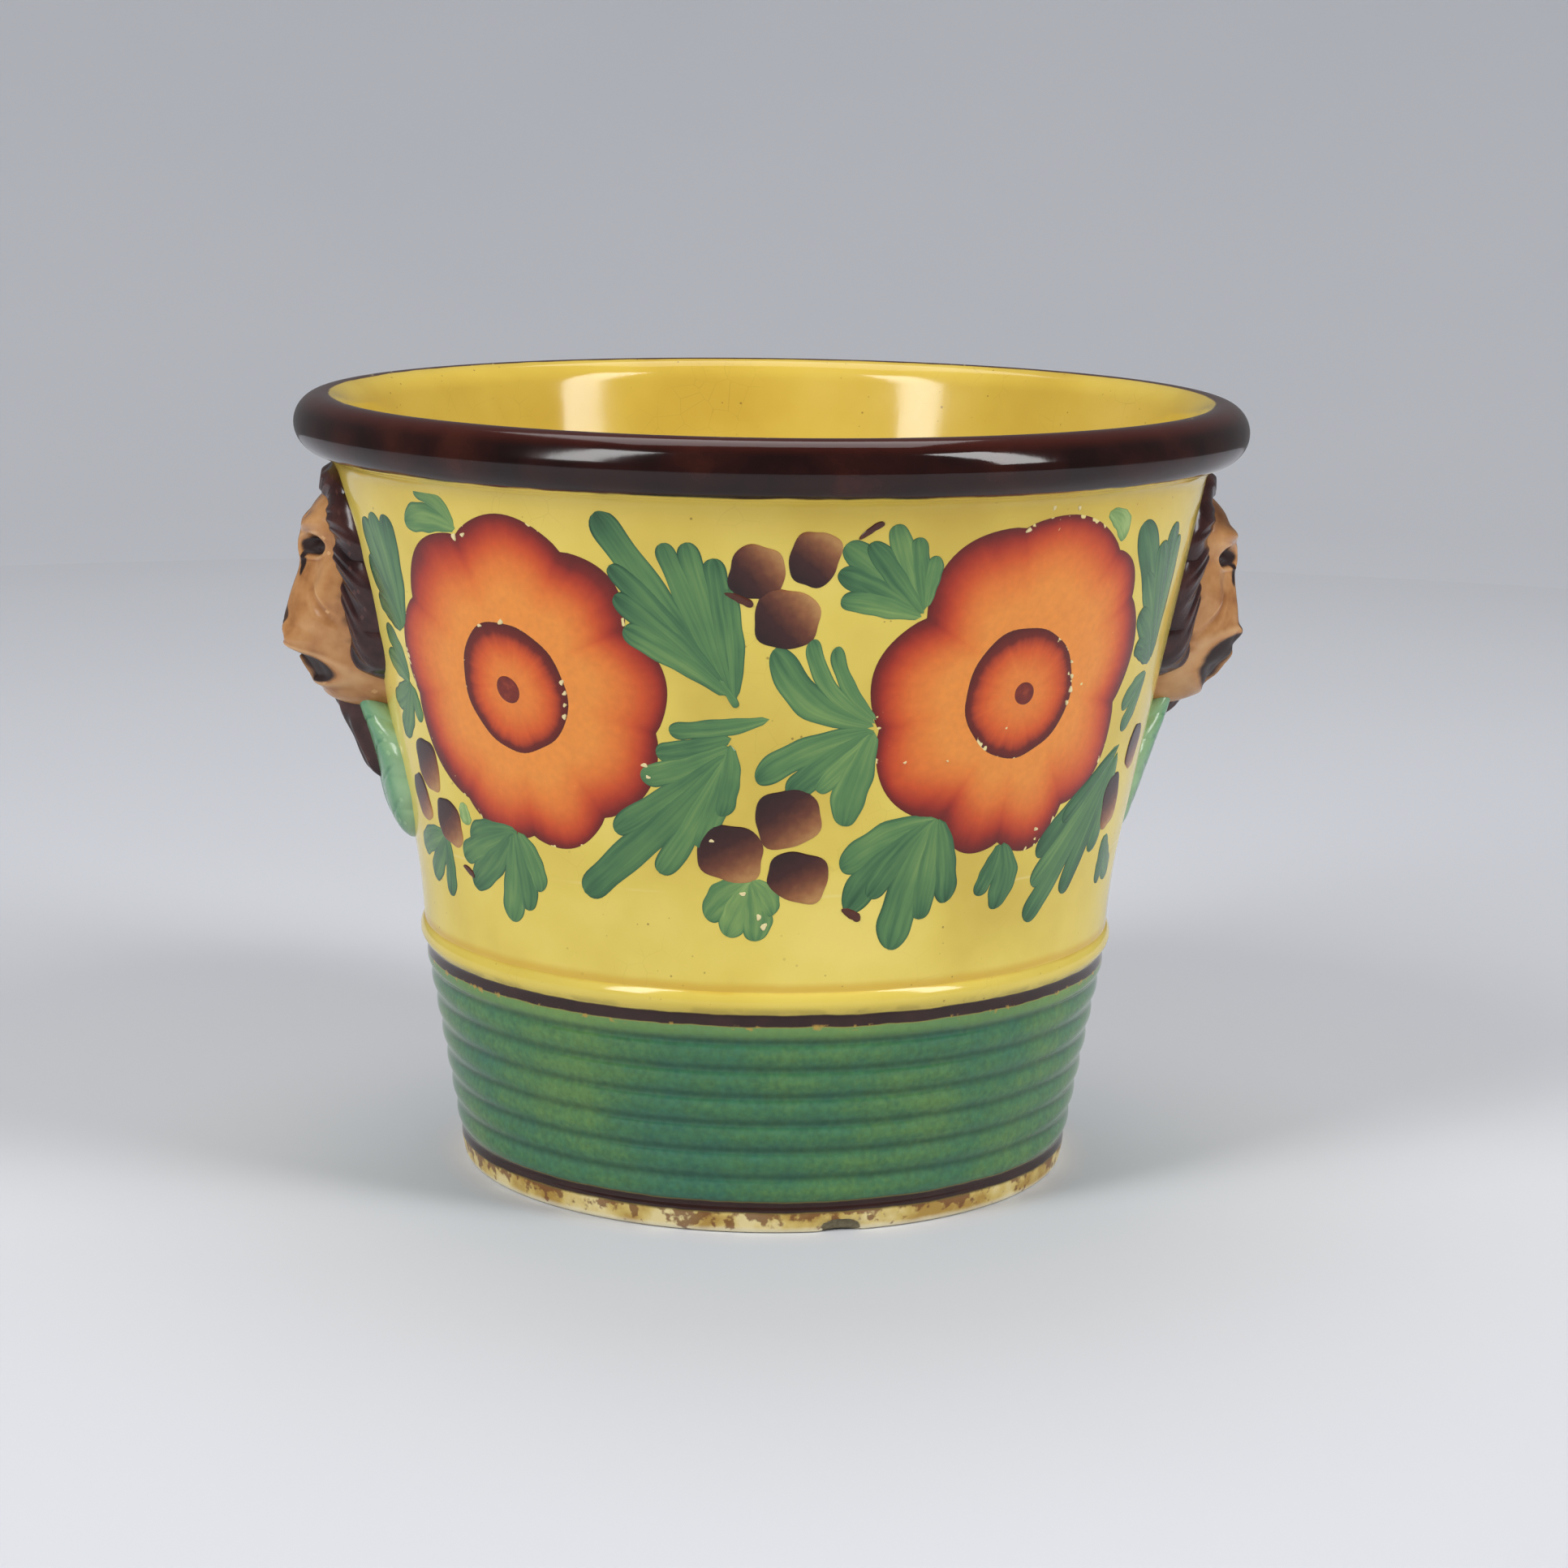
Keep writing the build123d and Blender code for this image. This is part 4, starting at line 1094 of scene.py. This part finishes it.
# The leaf under each mask: lobed, with a midrib and side veins
leafForms = {
    "right": {"relief": ((35.4, 1.5), (37, 4.2), (39, 5.2), (44, 4.7), (50, 3.7), (56, 2.7), (62, 1.9),
                         (66, 1.4), (69.2, 0.6))},
    "left": {"relief": ((35.4, 1.5), (37, 4.6), (39, 5.8), (44, 5.1), (48, 4.5), (54, 4.1), (60, 4.1),
                        (64, 3.6), (67, 2.6), (69.2, 0.9))},
    "from": 35.4, "to": 69.2, "columns": 96, "rows": 130, "lobes": 0.26, "lobeStep": 6.6,
    "halfWidth": ((35.4, 3.4), (37, 5.8), (39, 7.4), (42, 8.6), (46, 10.4), (50, 12.2), (54, 13.2),
                  (58, 13.2), (61.5, 12.2), (64.5, 10.2), (67, 7.2), (68.6, 4.0), (69.2, 1.6)),
}


def leafHalfWidth(fall, share):
    half = softCurve(leafForms["halfWidth"], fall)
    lobe = abs(math.sin(math.pi * (fall - leafForms["from"]) / leafForms["lobeStep"]))
    return half - leafForms["lobes"] * 2.2 * (1 - lobe) * easeStep(38, 46, fall) * easeStep(69, 64, fall)


# the stalk end hangs free of the wall under the jaw
def leafLean(fall):
    return 0.7 * easeStep(51, 38, fall)


def leafReliefFor(side):
    def leafRelief(across, fall, half):
        height = softCurve(leafForms[side]["relief"], fall)
        edge = min(abs(across) / half, 1.0)
        vein = math.sin(math.pi * (fall + 0.75 * abs(across) - leafForms["from"]) / leafForms["lobeStep"])
        groove = math.exp(-(vein / 0.22) ** 2) * easeStep(0.02, 0.2, edge) * easeStep(1.0, 0.8, edge)
        rib = math.exp(-(across / 0.75) ** 2)
        rise = height * max(1 - edge**3.2, 0) ** 0.5 - 0.3 * edge**8
        return rise + 0.3 * rib * easeStep(69, 62, fall) - 0.16 * groove
    return leafRelief


# the edges of the leaf, where the green has run off, are paler
def leafPaint(across, fall, half):
    return -0.4 * easeStep(0.72, 1.0, abs(across) / half)


# The beard: a twisted lock on the left, a broken stump on the right
beardForms = {
    "left": {"from": 37.6, "to": 58.2, "halfWidth": ((37.6, 4.2), (42, 4.8), (46, 4.4), (50, 3.8),
                                                     (54, 3.2), (57, 2.1), (58.2, 0.8)),
             "relief": ((37.6, 8.4), (41, 9.6), (43.5, 9.2), (46.5, 8.4), (49.5, 7.6), (53, 6.9),
                        (56, 5.9), (58.2, 3.2))},
    "right": {"from": 37.6, "to": 46.6, "halfWidth": ((37.6, 4.0), (42, 4.3), (45, 3.6), (46.6, 2.2)),
              "relief": ((37.6, 7.0), (41, 7.8), (43.5, 7.0), (45.4, 5.4), (46.6, 3.0))},
    "columns": 48, "rows": 72,
}


def beardPiece(side):
    form = beardForms[side]

    def sway(fall):
        return 0.7 * math.sin((fall - form["from"]) * 0.45)

    def beardHalfWidth(fall, share):
        return softCurve(form["halfWidth"], fall)

    def beardRelief(across, fall, half):
        edge = min(abs(across) / half, 1.0)
        twist = math.sin(2.4 * (across - sway(fall)) + 0.55 * fall)
        return softCurve(form["relief"], fall) * max(1 - edge**2.4, 0) ** 0.5 + 0.35 * twist * (1 - edge)

    return reliefPiece(side + "_beard_lock", beardForms["columns"], beardForms["rows"], form["from"],
                       form["to"], beardHalfWidth, beardRelief, noPaint)


# glazes of the masks: tan over the face with dark brown brushed on, brown mane and beard, green leaf
maskPaint = {
    "tan": ("#8A5630", "#B07C4C", "#C99A68"), "brown": ("#1C0E0E", "#331C1B", "#4C2F2A"),
    "green": ("#3D7354", "#5C9068", "#7FA87E"),
    "dark": ("#1A0C0B", "#34201B"), "pale": ("#D6B184", "#DCC08C", "#B8CDA0"),
}


def maskGlaze(name, tones, pale):
    material, put, links, shader = startMaterial(name)
    coords = put("ShaderNodeTexCoord").outputs["Object"]
    place = put("ShaderNodeVectorMath", {"operation": "SCALE"}, {0: coords, "Scale": 1000.0}).outputs[0]
    wide = put("ShaderNodeTexNoise", None,
               {"Vector": place, "Scale": 1 / 6.0, "Detail": 4.0}).outputs["Fac"]
    fine = put("ShaderNodeTexNoise", None,
               {"Vector": place, "Scale": 1 / 1.1, "Detail": 3.0}).outputs["Fac"]
    # glaze runs off the high places and gathers in the low ones
    worn = put("ShaderNodeNewGeometry").outputs["Pointiness"]
    ridge = put("ShaderNodeMapRange", None, {0: worn, 1: 0.45, 2: 0.55, 3: -0.35, 4: 0.35}).outputs[0]
    share = put("ShaderNodeMath", {"operation": "ADD"}, {0: wide, 1: ridge}).outputs[0]
    tone = put("ShaderNodeValToRGB", {"stops": [(0.25, tones[0]), (0.5, tones[1]), (0.8, tones[2])]},
               {0: share}).outputs[0]
    painted = put("ShaderNodeAttribute", {"attribute_name": "paint"}).outputs["Fac"]
    # below 0 the tone turns pale: a painted highlight along the lips of the face, and the edges of the
    # leaf where the green ran off
    paleRunAndHighlight = put("ShaderNodeMath", {"operation": "MULTIPLY"}, {0: painted, 1: -1.0}).outputs[0]
    tone = put("ShaderNodeMix", {"data_type": "RGBA"}, {0: paleRunAndHighlight, 6: tone, 7: pale}).outputs[2]
    ink = put("ShaderNodeMix", {"data_type": "RGBA"},
              {0: wide, 6: maskPaint["dark"][0], 7: maskPaint["dark"][1]}).outputs[2]
    tone = put("ShaderNodeMix", {"data_type": "RGBA"}, {0: painted, 6: tone, 7: ink}).outputs[2]
    links.new(tone, shader.inputs["Base Color"])
    gloss = put("ShaderNodeMapRange", None, {0: wide, 1: 0.3, 2: 0.7, 3: 0.12, 4: 0.24}).outputs[0]
    # thin brown is drier
    dull = put("ShaderNodeMix", {"data_type": "FLOAT"}, {0: painted, 2: gloss, 3: 0.42})
    links.new(dull.outputs[0], shader.inputs["Roughness"])
    shader.inputs["IOR"].default_value = 1.42
    bump = put("ShaderNodeBump", None, {"Strength": 0.2, "Distance": 0.1 * mm, "Height": fine}).outputs[0]
    links.new(bump, shader.inputs["Normal"])
    return material


tanGlaze = maskGlaze("tanGlazedClay", maskPaint["tan"], maskPaint["pale"][0])
brownGlaze = maskGlaze("brownGlazedClay", maskPaint["brown"], maskPaint["pale"][1])
greenGlaze = maskGlaze("greenGlazedClay", maskPaint["green"], maskPaint["pale"][2])

facePieces = {}
for side in ("right", "left"):
    facePieces[side] = reliefPiece(side + "_lion_face", lionFace["columns"], lionFace["rows"], 0.0,
                                   lionFace["length"], faceHalfWidth, faceReliefFor(side),
                                   facePaintFor(side))
rightMane = reliefPiece("right_lion_mane", lionMane["columns"], lionMane["rows"], lionMane["from"],
                        lionMane["to"], maneHalfWidth, maneRelief, noPaint)
leafPieces = {}
for side in ("right", "left"):
    leafPieces[side] = reliefPiece(side + "_hanging_leaf", leafForms["columns"], leafForms["rows"],
                                   leafForms["from"], leafForms["to"], leafHalfWidth, leafReliefFor(side),
                                   leafPaint, lean=leafLean)
beardPieces = {side: beardPiece(side) for side in ("right", "left")}
halfTurn = Matrix.Rotation(math.pi, 4, "Z")
for pieces in (facePieces, leafPieces, beardPieces):
    pieces["left"].data.transform(halfTurn)
finishPiece(rightMane, brownGlaze, "brown_glaze", "right_mane")
finishPiece(turnedCopy(rightMane, "left_lion_mane"), brownGlaze, "brown_glaze", "left_mane")
for side in ("right", "left"):
    finishPiece(facePieces[side], tanGlaze, "tan_glaze", side + "_face")
    finishPiece(leafPieces[side], greenGlaze, "green_glaze", side + "_leaf")
    finishPiece(beardPieces[side], brownGlaze, "brown_glaze", side + "_beard")
print("lion masks modelled")

# The studio: pale floor, a tall soft window on each side in front, a wide one overhead behind
studio = {"floor": "#D3D5DB", "floorEdge": "#D7D9DE", "world": "#E4E6EA", "worldStrength": 0.2,
          "sweepStart": 0.9, "sweepRadius": 1.2,
          "lights": ((-52, 36, 1.5, 0.34, 1.1, 13.8), (54, 36, 1.5, 0.34, 1.1, 13.4),
                     (180, 70, 1.6, 1.0, 1.0, 7.5))}


def makeStudio():
    reach, curl = studio["sweepStart"], studio["sweepRadius"]
    turns = [math.pi / 2 * i / 16 for i in range(17)]
    paths = {"studio_floor": [(reach * i / 6, 0, 0) for i in range(7)],
             "studio_sweep": [(reach + curl * math.sin(a), 0, curl * (1 - math.cos(a))) for a in turns]}
    material, put, links, shader = startMaterial("matPaperSweep")
    coords = put("ShaderNodeTexCoord").outputs["Object"]
    tone = put("ShaderNodeTexNoise", None, {"Vector": coords, "Scale": 5.0, "Detail": 2.0})
    colour = put("ShaderNodeMix", {"data_type": "RGBA"},
                 {0: tone, 6: studio["floor"], 7: studio["floorEdge"]})
    links.new(colour.outputs[2], shader.inputs["Base Color"])
    shader.inputs["Roughness"].default_value = 0.7
    for name, path in paths.items():
        mesh = bpy.data.meshes.new(name)
        mesh.from_pydata(path, [(i, i + 1) for i in range(len(path) - 1)], [])
        paper = bpy.data.objects.new(name, mesh)
        bpy.context.collection.objects.link(paper)
        pick(paper)
        bpy.ops.object.mode_set(mode="EDIT")
        bpy.ops.mesh.select_all(action="SELECT")
        bpy.ops.mesh.spin(steps=96, angle=2 * math.pi, center=(0, 0, 0), axis=(0, 0, 1))
        bpy.ops.mesh.select_all(action="SELECT")
        bpy.ops.mesh.remove_doubles(threshold=0.01 * mm)
        bpy.ops.mesh.normals_make_consistent(inside=True)
        bpy.ops.object.mode_set(mode="OBJECT")
        bpy.ops.object.shade_smooth()
        paper.data.materials.append(material)
        # the glaze mirrors the floor and lamps, not the far paper
        paper.visible_glossy = name == "studio_floor"
    world = bpy.data.worlds.new("softRoom")
    bpy.context.scene.world = world
    world.use_nodes = True
    background = world.node_tree.nodes["Background"]
    background.inputs["Color"].default_value = linearColour(studio["world"])
    background.inputs["Strength"].default_value = studio["worldStrength"]
    aim = Vector((0, 0, 0.07))
    for azimuth, rise, far, wide, tall, power in studio["lights"]:
        turn, up = math.radians(azimuth), math.radians(rise)
        place = aim + far * Vector((math.cos(up) * math.sin(turn), -math.cos(up) * math.cos(turn),
                                    math.sin(up)))
        light = bpy.data.lights.new("softbox", "AREA")
        light.shape = "RECTANGLE"
        light.size = wide
        light.size_y = tall
        light.energy = power
        lamp = bpy.data.objects.new("softbox", light)
        lamp.location = place
        lamp.rotation_euler = (aim - place).to_track_quat("-Z", "Y").to_euler()
        bpy.context.collection.objects.link(lamp)


# The camera stands where the photograph's did: distance and height in metres, angles in degrees
view = {"distance": 0.7308, "height": 0.2147, "azimuth": -6.0, "pitch": 10.93, "yaw": 0.26, "roll": 0.81,
        "focalPixels": 4648.1, "imagePixels": 1932}


def makeCamera():
    camera = bpy.data.cameras.new("camera")
    camera.sensor_width = 36.0
    camera.lens = view["focalPixels"] / view["imagePixels"] * camera.sensor_width
    stand = bpy.data.objects.new("camera", camera)
    turn = math.radians(view["azimuth"])
    place = Matrix.Translation((view["distance"] * math.sin(turn), -view["distance"] * math.cos(turn),
                                view["height"]))
    aim = Matrix.Rotation(turn - math.radians(view["yaw"]), 4, "Z")
    tilt = Matrix.Rotation(math.radians(90 - view["pitch"]), 4, "X")
    roll = Matrix.Rotation(math.radians(view["roll"]), 4, "Z")
    stand.matrix_world = place @ aim @ tilt @ roll
    bpy.context.collection.objects.link(stand)
    bpy.context.scene.camera = stand


makeStudio()
makeCamera()
bpy.context.scene.view_settings.view_transform = "Standard"
bpy.context.view_layer.update()
print("studio and camera set")
